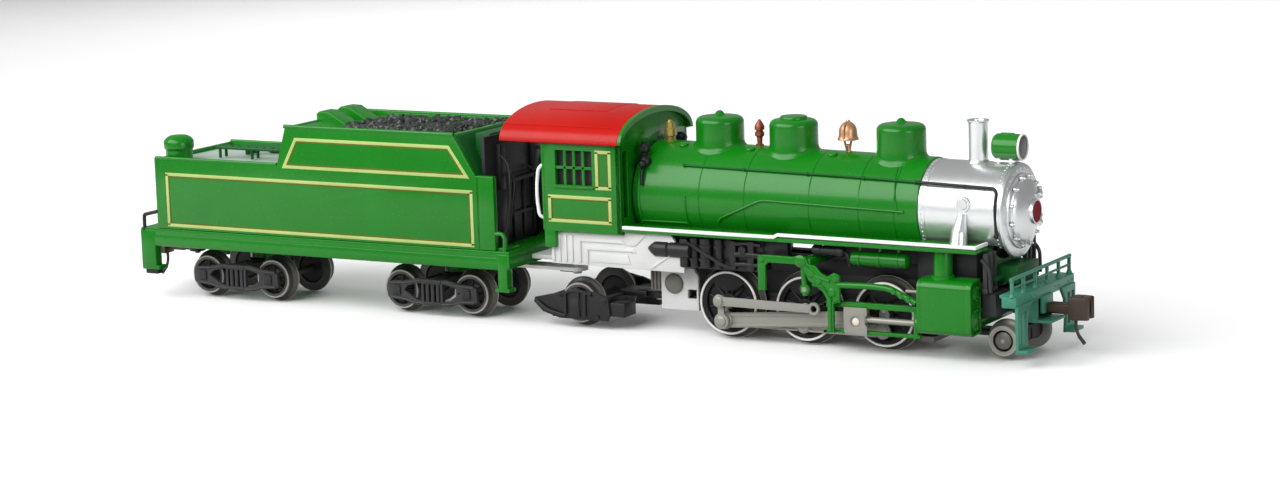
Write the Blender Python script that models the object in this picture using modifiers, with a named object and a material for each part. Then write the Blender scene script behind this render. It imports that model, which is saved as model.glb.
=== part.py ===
"""Model steam locomotive with tender, 9 mm gauge (1:160): a 2-6-2 with outside cylinders.

Stations (s) are measured forward from the middle driving axle, heights (h) from the top of the rail,
and y from the centre line, positive to the locomotive's left. All are in millimetres.
The object stands on its wheel flanges, so its origin is one flange depth below the rail top.
"""

import math

import bmesh
import bpy
from mathutils import Matrix, Vector, noise

MM = 0.001

# ---- driving dimensions ----
FRONT_COUPLER_PIVOT = 29.65
REAR_COUPLER_PIVOT = -102.0
ORIGIN_STATION = (FRONT_COUPLER_PIVOT + REAR_COUPLER_PIVOT) / 2  # middle of the overall length
FLANGE = 0.6  # depth of a wheel flange below the tread
WHEEL_BACK = 3.75  # half of the distance between wheel backs
WHEEL_FACE = 5.6
DRIVER_RADIUS = 4.23
DRIVER_STATIONS = {"rear": -11.27, "middle": 0.0, "front": 11.27}
CRANK_RADIUS = 2.05
SMALL_WHEEL_RADIUS = 2.76
PILOT_WHEEL_RADIUS = 2.0
PILOT_AXLE = 27.68
PILOT_PIVOT = 20.0
TRAILING_AXLE = -34.0
TRAILING_PIVOT = -24.6
TRUCK_STATIONS = {"front": -56.94, "rear": -90.28}
TRUCK_WHEELBASE = 11.41
GAP = 0.06  # clearance between pieces that touch on the real object
WELD = 0.0004  # points this close are one
BARREL_SIDES = 28
WHEEL_SIDES = 20  # a multiple of 4, so that a flat faces straight down
PIN_SIDES = 12

BOILER_HEIGHT = 17.72
SMOKEBOX_RADIUS = 6.05
BOILER_RADIUS_FRONT = 6.25
BOILER_RADIUS_REAR = 6.85
BOILER_WALL = 0.6
SMOKEBOX_REAR = 16.4
SMOKEBOX_FRONT = 27.5
BOILER_REAR = -24.9
BOARD_TOP = 14.2
BOARD_STEP = -2.1  # the running board is a little higher in front of this station
BOARD_HALF_WIDTH = 9.19
BOARD_FRONT = 25.7
DOME_RADIUS = 3.19
DOME_STATIONS = {"sand_rear": -14.85, "steam": -3.95, "sand_front": 11.47}
DOME_SHOULDER = 28.1

CAB_FRONT = -25.0
CAB_REAR = -36.9
CAB_HALF_WIDTH = 9.15
CAB_WALL = 0.7
ROOF_REAR = -43.1
ROOF_HALF_WIDTH = 9.9
ROOF_EAVE = 25.0
ROOF_RISE = 3.9
WINDOW = (-34.9, -29.3, 19.3, 23.9)  # station from, to, height from, to

CYLINDER = (17.85, 25.32, 3.0, 10.0)  # station from, to, height from, to
CYLINDER_HALF_WIDTH = 10.0
CYLINDER_INSIDE = 6.7
PISTON_Y = 8.35
PISTON_HEIGHT = 4.0
WRIST_STATION = 8.9
WRIST_HEIGHT = 3.75
ECCENTRIC_PIN = (-0.07, 0.69)  # from the axle, with the crank straight down
ECCENTRIC_ROD_FRONT = (2.5, 4.8)

FRAME_INSIDE = 0.95
FRAME_OUTSIDE = 3.1
AXLE_RADIUS = 0.75
GEAR_MODULE = 0.3
AXLE_GEAR_TEETH = 18
IDLER_TEETH = 14
WORM_RADIUS = 1.15  # pitch radius
MESH_GAP = 0.08  # added to each gear's centre distance
IDLER_HEIGHT = DRIVER_RADIUS + GEAR_MODULE * (AXLE_GEAR_TEETH + IDLER_TEETH) / 2 + MESH_GAP
MOTOR_HEIGHT = IDLER_HEIGHT + GEAR_MODULE * IDLER_TEETH / 2 + WORM_RADIUS + MESH_GAP
MOTOR_HALF_HEIGHT = 3.25

TENDER_HALF_WIDTH = 9.16
TENDER_REAR = -101.87
TENDER_FRONT = -47.0
TENDER_DECK = 19.78
TENDER_FLOOR = 9.65
SILL_BOTTOM = 6.6
BUNKER_TOP = 25.2
TENDER_WALL = 0.7
LOCO_PIN = -37.5
TENDER_PIN = -49.0
COUPLER_HEIGHT = 5.6

for old in list(bpy.data.objects):
    bpy.data.objects.remove(old)

engine = bpy.data.collections.new("model_steam_locomotive")
bpy.context.scene.collection.children.link(engine)
bench = bpy.data.collections.new("cutters")
bench.hide_render = True
bpy.context.scene.collection.children.link(bench)


# ---- materials ----

def material(name, colour, roughness, metallic=0.0):
    made = bpy.data.materials.new(name)
    made.use_nodes = True
    shader = made.node_tree.nodes["Principled BSDF"]
    shader.inputs["Base Color"].default_value = (*colour, 1.0)
    shader.inputs["Roughness"].default_value = roughness
    shader.inputs["Metallic"].default_value = metallic
    made.diffuse_color = (*colour, 1.0)
    return made


GREEN = material("green_enamel", (0.035, 0.25, 0.045), 0.3)
TEAL = material("teal_plastic", (0.02, 0.17, 0.11), 0.4)
RED = material("red_roof_paint", (0.62, 0.02, 0.012), 0.35)
SILVER = material("silver_paint", (0.72, 0.73, 0.74), 0.4, 0.3)
WHITE_METAL = material("painted_casting", (0.74, 0.75, 0.77), 0.45)
BLACK = material("black_plastic", (0.014, 0.014, 0.016), 0.45)
STEEL = material("rod_metal", (0.42, 0.4, 0.37), 0.38, 0.8)
WHEEL_METAL = material("nickel_wheel", (0.5, 0.49, 0.47), 0.35, 0.85)
BRASS = material("brass", (0.62, 0.42, 0.16), 0.35, 0.9)
COPPER = material("copper_bell", (0.62, 0.36, 0.2), 0.4, 0.8)
LEAD = material("cast_weight", (0.2, 0.2, 0.21), 0.6, 0.5)
NYLON = material("gear_nylon", (0.75, 0.72, 0.62), 0.5)
COAL = material("coal", (0.012, 0.012, 0.014), 0.35)


# ---- shapes: each helper returns a bench object in millimetres, already in the object's frame ----

def point(s, y, h):
    """A place given by station, y and height above the rail, in the object's frame."""
    return Vector((s - ORIGIN_STATION, y, h + FLANGE))


def from_bmesh(shape):
    bmesh.ops.recalc_face_normals(shape, faces=shape.faces)
    mesh = bpy.data.meshes.new("shape")
    shape.to_mesh(mesh)
    shape.free()
    made = bpy.data.objects.new("shape", mesh)
    bench.objects.link(made)
    return made


def applied(obj, flatten=False):
    """The object's evaluated mesh, welded and in world space, as a plain bench object.
    With flatten, triangles in one plane become one face, so that a cap holds no slivers."""
    bpy.context.view_layer.update()
    graph = bpy.context.evaluated_depsgraph_get()
    mesh = bpy.data.meshes.new_from_object(obj.evaluated_get(graph))
    mesh.transform(obj.matrix_world)
    bpy.data.objects.remove(obj)
    shape = bmesh.new()
    shape.from_mesh(mesh)
    bmesh.ops.remove_doubles(shape, verts=shape.verts, dist=WELD)
    if flatten:
        bmesh.ops.dissolve_limit(shape, angle_limit=math.radians(0.5), verts=shape.verts, edges=shape.edges)
    bpy.data.meshes.remove(mesh)
    return from_bmesh(shape)


def box(low, high, bevel=0.0):
    """A box between two (s, y, h) corners, with rounded edges where bevel is given."""
    a, b = point(*low), point(*high)
    shape = bmesh.new()
    bmesh.ops.create_cube(shape, size=1.0)
    size = Matrix.Diagonal((*(b - a), 1.0))
    bmesh.ops.transform(shape, matrix=Matrix.Translation((a + b) / 2) @ size, verts=shape.verts)
    made = from_bmesh(shape)
    return rounded(made, bevel) if bevel else made


def side_box(side, stations, ys, heights, bevel=0.0):
    """A box on one side of the centre line. Its ys are distances from that line, in either order."""
    y_low, y_high = sorted(side * y for y in ys)
    return box((stations[0], y_low, heights[0]), (stations[1], y_high, heights[1]), bevel)


def rounded(obj, width, segments=2, limit=50):
    modifier = obj.modifiers.new("Bevel", "BEVEL")
    modifier.width = width
    modifier.segments = segments
    modifier.limit_method = "ANGLE"
    modifier.angle_limit = math.radians(limit)
    return applied(obj)


def rod(start, end, radius, end_radius=None, sides=PIN_SIDES):
    """A round bar or cone between two (s, y, h) points, with a flat turned to face straight down."""
    a, b = point(*start), point(*end)
    shape = bmesh.new()
    bmesh.ops.create_cone(
        shape,
        cap_ends=True,
        segments=sides,
        radius1=radius,
        radius2=radius if end_radius is None else end_radius,
        depth=(b - a).length,
    )
    matrix = Matrix.Translation((a + b) / 2) @ facing(b - a) @ Matrix.Rotation(math.pi / sides, 4, "Z")
    bmesh.ops.transform(shape, matrix=matrix, verts=shape.verts)
    return from_bmesh(shape)


def facing(direction):
    """Rotation that takes local +Z to the direction, with local +X kept level."""
    z = Vector(direction).normalized()
    up = Vector((0, 0, 1)) if abs(z.z) < 0.9 else Vector((1, 0, 0))
    x = up.cross(z).normalized()
    return Matrix((x, z.cross(x), z)).transposed().to_4x4()


def turned(profile, centre, axis, sides=24, on_flats=False):
    """A turned shape. The profile is (radius, distance along the axis), from the far end to the near one.
    With on_flats, radii are measured across the flats, so that a wheel's tread touches what it stands on."""
    grow = 1 / math.cos(math.pi / sides) if on_flats else 1.0
    mesh = bpy.data.meshes.new("profile")
    points = [(radius * grow, 0.0, along) for radius, along in profile]
    edges = [(i, i + 1) for i in range(len(points) - 1)]
    if profile[0][0] > 0:
        edges.append((len(points) - 1, 0))
    mesh.from_pydata(points, edges, [])
    made = bpy.data.objects.new("profile", mesh)
    bench.objects.link(made)
    half_step = Matrix.Rotation(math.pi / sides, 4, "Z")
    made.matrix_world = Matrix.Translation(point(*centre)) @ facing(axis) @ half_step
    screw = made.modifiers.new("Screw", "SCREW")
    screw.steps = screw.render_steps = sides
    screw.use_merge_vertices = True
    screw.merge_threshold = 0.0001
    return applied(made)


def outline_curve(points, place, thickness, holes=()):
    curve = bpy.data.curves.new("outline", "CURVE")
    curve.dimensions = "2D"
    curve.fill_mode = "BOTH"
    curve.extrude = thickness / 2
    for loop in (points, *holes):
        spline = curve.splines.new("POLY")
        spline.points.add(len(loop) - 1)
        for knot, (u, v) in zip(spline.points, loop):
            knot.co = (u, v, 0.0, 1.0)
        spline.use_cyclic_u = True
    made = bpy.data.objects.new("outline", curve)
    bench.objects.link(made)
    made.matrix_world = place
    return applied(made, flatten=not holes)


def side_plate(points, y_from, y_to, holes=()):
    """An upright plate: its outline is (station, height) pairs, and it runs from one y to the other."""
    across = Matrix(((1, 0, 0), (0, 0, -1), (0, 1, 0))).to_4x4()
    place = Matrix.Translation(point(0, (y_from + y_to) / 2, 0)) @ across
    return outline_curve(points, place, abs(y_to - y_from), holes)


def end_plate(points, s_from, s_to, holes=()):
    """A plate across the engine: its outline is (y, height) pairs, between two stations."""
    across = Matrix(((0, 0, 1), (1, 0, 0), (0, 1, 0))).to_4x4()
    place = Matrix.Translation(point((s_from + s_to) / 2, 0, 0)) @ across
    return outline_curve(points, place, abs(s_to - s_from), holes)


def wire(points, radius, resolution=2):
    curve = bpy.data.curves.new("wire", "CURVE")
    curve.dimensions = "3D"
    curve.bevel_depth = radius
    curve.bevel_resolution = resolution
    curve.use_fill_caps = True
    spline = curve.splines.new("POLY")
    spline.points.add(len(points) - 1)
    for knot, place in zip(spline.points, points):
        knot.co = (*point(*place), 1.0)
    made = bpy.data.objects.new("wire", curve)
    bench.objects.link(made)
    return applied(made)


def arc(centre, radius, start, end, steps):
    """Points on an arc, angles in degrees from the first axis towards the second."""
    turns = [math.radians(start + (end - start) * i / steps) for i in range(steps + 1)]
    return [(centre[0] + radius * math.cos(t), centre[1] + radius * math.sin(t)) for t in turns]


def boolean(base, others, operation):
    for other in others:
        modifier = base.modifiers.new("Boolean", "BOOLEAN")
        modifier.operation = operation
        modifier.object = other
        base = applied(base)
        bpy.data.objects.remove(other)
    return base


def union(base, *others):
    return boolean(base, others, "UNION")


def cut(base, *others):
    return boolean(base, others, "DIFFERENCE")


def finish(name, obj, look, body=None):
    """Scales the piece to metres, names it, gives it its material and origin, and puts it with the engine."""
    obj.data.transform(Matrix.Scale(MM, 4))
    obj.name = name
    obj.data.name = name
    obj.data.materials.append(look)
    obj.data.shade_smooth()
    obj.data.set_sharp_from_angle(angle=math.radians(35))
    bench.objects.unlink(obj)
    engine.objects.link(obj)
    if body is not None:
        obj.data.transform(Matrix.Translation(-body.location))
        obj.parent = body
    return obj


def joint_empty(name, s, y, h):
    empty = bpy.data.objects.new(name, None)
    empty.empty_display_size = 2 * MM
    empty.location = point(s, y, h) * MM
    engine.objects.link(empty)
    return empty


SIDES = {"right": -1, "left": 1}


# ---- locomotive body ----

def boiler_radius(s):
    share = (s - SMOKEBOX_REAR) / (BOILER_REAR - SMOKEBOX_REAR)
    return BOILER_RADIUS_FRONT + (BOILER_RADIUS_REAR - BOILER_RADIUS_FRONT) * share


def dome(s, finial):
    base = BOILER_HEIGHT + boiler_radius(s)
    skirt = base - 1.9
    top = DOME_SHOULDER
    profile = [(0.0, top + 0.95)] + [
        (0.75 * math.sin(math.radians(a)), top + 0.2 + 0.75 * math.cos(math.radians(a))) for a in (40, 80)
    ] if finial else [(0.0, top + 0.42), (1.75, top + 0.42), (1.95, top + 0.2)]
    profile += [(1.1, top + 0.12), (2.1, top)] if finial else [(2.1, top)]
    profile += arc((DOME_RADIUS - 0.9, top - 0.95), 0.9, 70, 0, 2)
    profile += [(DOME_RADIUS, base + 0.7), (DOME_RADIUS + 0.15, base + 0.1), (DOME_RADIUS + 0.6, base - 0.5)]
    profile += [(DOME_RADIUS + 0.6, skirt), (0.0, skirt)]
    return turned([(r, h - BOILER_HEIGHT) for r, h in profile], (s, 0, BOILER_HEIGHT), (0, 0, 1), 18)


def boiler_shell():
    outside = turned(
        [(0.0, SMOKEBOX_REAR), (boiler_radius(SMOKEBOX_REAR), SMOKEBOX_REAR),
         (boiler_radius(BOILER_REAR), BOILER_REAR), (0.0, BOILER_REAR)],
        (0, 0, BOILER_HEIGHT), (1, 0, 0), BARREL_SIDES,
    )
    firebox_half = BOILER_RADIUS_REAR - 0.1
    outside = union(
        outside,
        box((BOILER_REAR, -firebox_half, BOARD_TOP + GAP), (-16.7, firebox_half, BOILER_HEIGHT)),
        *[dome(s, name != "steam") for name, s in DOME_STATIONS.items()],
    )
    inside = turned(
        [(0.0, SMOKEBOX_REAR + 1), (boiler_radius(SMOKEBOX_REAR) - BOILER_WALL, SMOKEBOX_REAR + 1),
         (boiler_radius(BOILER_REAR) - BOILER_WALL, BOILER_REAR - 1), (0.0, BOILER_REAR - 1)],
        (0, 0, BOILER_HEIGHT), (1, 0, 0), BARREL_SIDES,
    )
    chassis_slot = box((BOILER_REAR - 1, -4.6, 9.0), (SMOKEBOX_REAR + 1, 4.6, BOILER_HEIGHT - 2.0))
    firebox_inside = box(
        (BOILER_REAR - 1, -firebox_half + BOILER_WALL, 9.0), (-17.5, firebox_half - BOILER_WALL, BOILER_HEIGHT)
    )
    finish("boiler_shell", cut(outside, inside, chassis_slot, firebox_inside), GREEN)


def smokebox():
    radius = SMOKEBOX_RADIUS
    rear = SMOKEBOX_REAR + GAP
    shell = turned(
        [(0.0, SMOKEBOX_FRONT), (radius, SMOKEBOX_FRONT), (radius, rear), (0.0, rear)],
        (0, 0, BOILER_HEIGHT), (1, 0, 0), BARREL_SIDES,
    )
    pipes = [rod((22.6, side * 5.0, 18.9), (22.4, side * 7.05, BOARD_TOP + 0.5), 0.85, 1.0, 12)
             for side in SIDES.values()]
    inside = turned(
        [(0.0, 40.0), (radius - BOILER_WALL, 40.0), (radius - BOILER_WALL, rear - 1), (0.0, rear - 1)],
        (0, 0, BOILER_HEIGHT), (1, 0, 0), BARREL_SIDES,
    )
    slot = box((rear - 1, -4.6, 9.0), (24.6, 4.6, BOILER_HEIGHT - 2.0))
    stack_hole = rod((22.18, 0, 20.0), (22.18, 0, 28.0), 1.32, sides=16)
    shell = cut(union(shell, *pipes), inside, slot, stack_hole)
    finish("smokebox_shell", shell, SILVER)

    face = SMOKEBOX_FRONT + GAP
    front = turned(
        [(0.0, face + 2.45), (1.2, face + 2.4), (1.3, face + 1.95), (4.3, face + 1.2), (4.75, face + 0.45),
         (radius - 0.2, face + 0.45), (radius, face), (radius - BOILER_WALL - 0.1, face),
         (radius - BOILER_WALL - 0.1, face - 1.2), (0.0, face - 1.2)],
        (0, 0, BOILER_HEIGHT), (1, 0, 0), BARREL_SIDES,
    )
    finish("smokebox_front", front, SILVER)

    stack = turned(
        [(1.5, 29.02), (1.5, 28.6), (1.25, 28.3), (1.22, 24.6), (1.26, 22.6), (0.85, 22.6), (0.85, 29.02)],
        (22.18, 0, 0), (0, 0, 1), 16,
    )
    finish("smokestack", stack, SILVER)


def fittings():
    lamp = turned(
        [(0.0, 27.95), (1.25, 27.95), (1.25, 28.35), (1.5, 28.35), (1.6, 28.1), (1.6, 24.9), (1.35, 24.5),
         (0.0, 24.4)],
        (0, 0, 25.75), (1, 0, 0), 20,
    )
    bracket = box((24.9, -0.9, 23.9), (27.4, 0.9, 24.6))
    finish("headlight", union(lamp, bracket), GREEN)

    top = BOILER_HEIGHT + boiler_radius(3.9) + GAP
    bell = turned(
        [(0.0, 28.3), (0.45, 28.15), (0.5, 27.75), (0.85, 27.4), (0.95, 26.4), (1.3, 25.8), (1.3, 25.55),
         (0.3, 25.5), (0.3, top + 0.3), (0.8, top + 0.2), (0.8, top), (0.0, top)],
        (3.9, 0, 0), (0, 0, 1), PIN_SIDES,
    )
    finish("bell", bell, COPPER)

    top = BOILER_HEIGHT + boiler_radius(-9.3) + GAP
    whistle = turned(
        [(0.0, 27.75), (0.25, 27.6), (0.5, 27.0), (0.5, 25.9), (0.25, 25.7), (0.25, top + 0.2),
         (0.45, top + 0.1), (0.45, top), (0.0, top)],
        (-9.3, 0.6, 0), (0, 0, 1), 8,
    )
    finish("whistle", whistle, COPPER)

    top = BOILER_HEIGHT + boiler_radius(-22.4) + GAP
    valve = turned(
        [(0.0, 27.25), (0.35, 27.2), (0.6, 26.8), (0.6, 26.1), (0.8, 25.9), (0.8, 25.1), (0.55, 24.95),
         (0.55, top), (0.0, top)],
        (-22.4, 0, 0), (0, 0, 1), PIN_SIDES,
    )
    finish("safety_valve", valve, BRASS)


def running_boards():
    under = 13.4  # underside of the boards
    notch_length = 40.0
    for side_name, side in SIDES.items():
        outer = BOARD_HALF_WIDTH
        tank_y, tank_height = 6.9, 11.6
        board = union(
            side_box(side, (CAB_FRONT + GAP, BOARD_STEP), (BOILER_RADIUS_REAR + 0.05, outer),
                     (under, BOARD_TOP)),
            side_box(side, (BOARD_STEP - 0.5, BOARD_FRONT), (SMOKEBOX_RADIUS - 0.9, outer - 0.02),
                     (under, under + 0.5)),
            side_box(side, (BOARD_STEP - 0.4, BOARD_FRONT - 0.02), (outer - 0.45, outer - 0.01),
                     (under + 0.1, BOARD_TOP - 0.1)),
            rod((7.4, side * tank_y, tank_height), (15.6, side * tank_y, tank_height), 0.95),
            *[side_box(side, (s, s + 0.8), (tank_y - 0.3, tank_y + 0.3), (tank_height + 0.2, under + 0.1))
              for s in (9.0, 13.4)],
        )
        boiler_notch = turned(
            [(0.0, notch_length), (boiler_radius(0) - 0.18, notch_length),
             (BOILER_RADIUS_REAR + 0.1, -notch_length), (0.0, -notch_length)],
            (0, 0, BOILER_HEIGHT), (1, 0, 0), BARREL_SIDES,
        )
        pipe_hole = rod((22.4, side * 7.05, under - 1.4), (22.4, side * 7.05, under + 2.1), 1.2)
        finish(f"running_board_{side_name}", cut(board, boiler_notch, pipe_hole), GREEN)


def roof_arch(half_width, rise, steps=14):
    """Points of the roof's elliptical arch, from the right eave to the left one."""
    turns = [math.pi * (1 - i / steps) for i in range(steps + 1)]
    return [(half_width * math.cos(t), ROOF_EAVE + rise * math.sin(t)) for t in turns]


def cab():
    outer = CAB_HALF_WIDTH
    bottom = 13.0
    arch = [(y, h) for y, h in roof_arch(ROOF_HALF_WIDTH - 0.5, ROOF_RISE - 0.55) if abs(y) < outer - 0.1]
    section = [(-outer, bottom), (-outer, ROOF_EAVE - 0.1), *arch, (outer, ROOF_EAVE - 0.1), (outer, bottom)]
    solid = end_plate(section, CAB_REAR, CAB_FRONT)
    inner = outer - CAB_WALL
    arch = [(y * 0.93, h - CAB_WALL) for y, h in arch]
    eave = ROOF_EAVE - 0.8
    hollow = [(-inner, bottom - 1), (-inner, eave), *arch, (inner, eave), (inner, bottom - 1)]
    solid = cut(solid, end_plate(hollow, CAB_REAR - 1, CAB_FRONT - CAB_WALL))
    hole_radius = BOILER_RADIUS_REAR - 0.9
    boiler_hole = rod(
        (CAB_FRONT - 2, 0, BOILER_HEIGHT), (CAB_FRONT + 1, 0, BOILER_HEIGHT), hole_radius, sides=BARREL_SIDES
    )
    lower_hole = box((CAB_FRONT - 2, -6.0, 12.0), (CAB_FRONT + 1, 6.0, BOILER_HEIGHT))
    s_from, s_to, h_from, h_to = WINDOW
    windows = [
        side_box(side, (s_from, s_to), (inner - 1, outer + 1), (h_from, h_to)) for side in SIDES.values()
    ]
    solid = cut(solid, boiler_hole, lower_hole, *windows)
    tabs = [
        side_box(side, (CAB_REAR, CAB_REAR + 1.7), (inner, outer), (10.7, bottom + 0.3))
        for side in SIDES.values()
    ]
    finish("cab_shell", union(solid, *tabs), GREEN)

    outside = roof_arch(ROOF_HALF_WIDTH, ROOF_RISE)
    inside = roof_arch(ROOF_HALF_WIDTH - 0.42, ROOF_RISE - 0.48)
    roof = end_plate(outside + inside[::-1], ROOF_REAR, CAB_FRONT + 0.1)
    crown = ROOF_EAVE + ROOF_RISE
    roof = union(roof, box((-37.5, -3.2, crown - 0.45), (-29.5, 3.2, crown + 0.15)))  # the hatch
    finish("cab_roof", roof, RED)


# ---- chassis ----

def frames():
    slot = AXLE_RADIUS + 0.1
    bottom = 1.35
    outline = [(-15.9, bottom)]
    for s in DRIVER_STATIONS.values():
        outline += [(s - slot, bottom), (s - slot, DRIVER_RADIUS)]
        outline += arc((s, DRIVER_RADIUS), slot, 180, 0, 6)[1:-1]
        outline += [(s + slot, DRIVER_RADIUS), (s + slot, bottom)]
    outline += [(17.2, bottom), (17.2, 4.8), (24.3, 4.8), (24.3, 21.4)]
    outline += [(-16.9, 21.4), (-16.9, 9.2), (-15.9, 9.2)]
    for side_name, side in SIDES.items():
        half = side_plate(outline, side * FRAME_INSIDE, side * FRAME_OUTSIDE)
        rear = DRIVER_STATIONS["rear"]
        gear_space = box((rear - 4.1, -1.75, 6.9), (rear + 4.1, 1.75, MOTOR_HEIGHT + 2.2))
        idler_pin_hole = rod((rear, -4, IDLER_HEIGHT), (rear, 4, IDLER_HEIGHT), 0.45)
        half = cut(half, gear_space, idler_pin_hole)
        finish(f"chassis_frame_{side_name}", half, LEAD)


def keeper():
    plate = box((-15.7, -3.0, 0.55), (17.0, 3.0, 1.25))
    gear_slot = box((-13.6, -0.9, 0.4), (-8.9, 0.9, 1.4))
    finish("keeper_plate", cut(plate, gear_slot), BLACK)


def firebox_frame():
    floor = box((-35.1, -8.45, 8.4), (-17.0, 8.45, 9.1))
    tongue = box((-39.0, -2.2, 7.5), (-34.0, 2.2, 9.1))
    sides = []
    for side in SIDES.values():
        outline = [(-35.1, 8.4), (-22.6, 8.4), (-17.2, 9.0), (-17.2, 10.0), (-20.5, 10.4), (-23.0, 12.3),
                   (-35.1, 12.3)]
        sides.append(side_plate(outline, side * 7.7, side * 8.5))
    lower = box((-21.9, -4.5, 2.6), (-17.1, 4.5, 8.6))
    tail = box((-17.3, -3.3, 2.6), (-16.1, 3.3, 8.0))
    pins = [
        rod((LOCO_PIN, 0, 7.7), (LOCO_PIN, 0, 5.9), 0.6),
        rod((TRAILING_PIVOT, 0, 8.6), (TRAILING_PIVOT, 0, 2.9), 0.6),
    ]
    finish("firebox_frame", union(floor, tongue, *sides, lower, tail, *pins), WHITE_METAL)


def motor():
    low, high = MOTOR_HEIGHT - MOTOR_HALF_HEIGHT, MOTOR_HEIGHT + MOTOR_HALF_HEIGHT
    can = box((-34.0, -4.2, low), (-21.4, 4.2, high), 0.9)
    can = union(can, rod((-21.6, 0, MOTOR_HEIGHT), (-20.4, 0, MOTOR_HEIGHT), 1.6))
    bore = rod((-22.6, 0, MOTOR_HEIGHT), (-20.0, 0, MOTOR_HEIGHT), 0.5)
    finish("motor", cut(can, bore), BLACK)


def gear(name, teeth, s, h, half_width, bore, first, body):
    """A spur gear on a crosswise axle. Its first tooth is centred at the given angle from straight up."""
    pitch = GEAR_MODULE * teeth / 2
    root, tip = pitch - 0.34, pitch + 0.2
    outline = []
    for i in range(teeth):
        centre = math.radians(90 - first) + 2 * math.pi * i / teeth
        for radius, share in ((root, -0.3), (tip, -0.12), (tip, 0.12), (root, 0.3)):
            turn = centre + share * 2 * math.pi / teeth
            outline.append((s + radius * math.cos(turn), h + radius * math.sin(turn)))
    hole = arc((s, h), bore, 15, 345, 11)
    finish(name, side_plate(outline, -half_width, half_width, [hole]), NYLON, body)


def worm(body):
    """The motor's shaft with its single-start worm, turned to mesh with the idler gear below."""
    radius = WORM_RADIUS
    start, end = -14.2, -8.4
    lead = math.pi * GEAR_MODULE
    core = rod((start, 0, MOTOR_HEIGHT), (end, 0, MOTOR_HEIGHT), radius - 0.3)
    shaft = rod((-22.3, 0, MOTOR_HEIGHT), (start + 0.5, 0, MOTOR_HEIGHT), 0.4)
    steps = 8
    centre = DRIVER_STATIONS["rear"]
    turns_from = math.ceil((start + 0.5 - centre) / lead)
    turns_to = math.floor((end - 0.5 - centre) / lead)
    section = ((radius - 0.42, 0.3), (radius + 0.2, 0.12), (radius + 0.2, -0.12), (radius - 0.42, -0.3))
    shape = bmesh.new()
    rings = []
    for i in range((turns_to - turns_from) * steps + 1):
        turn = turns_from * 2 * math.pi + 2 * math.pi * i / steps
        along = centre + lead * turn / (2 * math.pi)
        # Right-handed about +X; at a whole number of turns the thread is straight below the axis.
        y, h = math.sin(turn), -math.cos(turn)
        rings.append([
            shape.verts.new(point(along + share * lead, r * y, MOTOR_HEIGHT + r * h)) for r, share in section
        ])
    for first, second in zip(rings, rings[1:]):
        for k in range(4):
            shape.faces.new((first[k], first[(k + 1) % 4], second[(k + 1) % 4], second[k]))
    shape.faces.new(rings[0])
    shape.faces.new(rings[-1][::-1])
    finish("worm_shaft", union(core, shaft, from_bmesh(shape)), STEEL, body)


# ---- wheels and motion ----

def driver_profile():
    r = DRIVER_RADIUS
    return [
        (r - 0.08, WHEEL_FACE), (r, 4.45), (r + FLANGE, 4.1), (r + FLANGE, WHEEL_BACK), (0.8, WHEEL_BACK),
        (0.8, WHEEL_FACE), (1.3, WHEEL_FACE), (1.4, 5.1), (r - 0.75, 5.1), (r - 0.65, WHEEL_FACE),
    ]


def small_wheelset(name, s, radius, tip, body, look=WHEEL_METAL):
    """Two wheels on one axle, turned as a single profile from one end to the other."""
    half = [
        (0.4, tip), (0.5, 5.2), (radius - 0.55, 5.2), (radius - 0.5, WHEEL_FACE),
        (radius - 0.04, WHEEL_FACE), (radius, 4.45), (radius + FLANGE, 4.1), (radius + FLANGE, WHEEL_BACK),
        (0.5, WHEEL_BACK),
    ]
    profile = [(0.0, tip)] + half + [(r, -a) for r, a in reversed(half)] + [(0.0, -tip)]
    wheels = turned(profile, (s, 0, radius), (0, 1, 0), WHEEL_SIDES, on_flats=True)
    finish(name, wheels, look, body)


def crank_offset(side):
    """Crank pin from the axle, as (station, height): straight down on the right, 90 degrees on at the left."""
    return (0.0, -CRANK_RADIUS) if side < 0 else (CRANK_RADIUS, 0.0)


def eccentric_offset(side):
    along, up = ECCENTRIC_PIN
    return (along, up) if side < 0 else (-up, along)


def drivers(bodies):
    for place, s in DRIVER_STATIONS.items():
        body = bodies[place]
        axle = turned(
            [(0.0, 5.55), (AXLE_RADIUS, 5.55), (AXLE_RADIUS, -5.55), (0.0, -5.55)],
            (s, 0, DRIVER_RADIUS), (0, 1, 0), WHEEL_SIDES, on_flats=True,
        )
        if place != "rear":
            axle = union(axle, rod((s, -0.7, DRIVER_RADIUS), (s, 0.7, DRIVER_RADIUS), 1.15))
        finish(f"driver_axle_{place}", axle, STEEL, body)
        for side_name, side in SIDES.items():
            along, up = crank_offset(side)
            centre = (s, 0, DRIVER_RADIUS)
            wheel = turned(driver_profile(), centre, (0, side, 0), WHEEL_SIDES, on_flats=True)
            pin_end = 5.66 if place == "rear" else 6.38
            pin = (s + along, side * 4.6, DRIVER_RADIUS + up), (s + along, side * 5.6, DRIVER_RADIUS + up)
            boss = rod(*pin, 0.95)
            outline = arc((s, DRIVER_RADIUS), DRIVER_RADIUS - 0.5, 40, 140, 6)
            outline += arc((s, DRIVER_RADIUS), 1.7, 130, 50, 3)
            if side > 0:
                outline = [(s - (h - DRIVER_RADIUS), DRIVER_RADIUS + (x - s)) for x, h in outline]
            weight = side_plate(outline, side * 4.7, side * 5.5)
            wheel = union(wheel, boss, weight)
            if place != "rear":
                end = (s + along, side * pin_end, DRIVER_RADIUS + up)
                wheel = union(wheel, rod((s + along, side * 5.3, DRIVER_RADIUS + up), end, 0.5))
            finish(f"driver_wheel_{place}_{side_name}", wheel, WHEEL_METAL, body)


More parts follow.
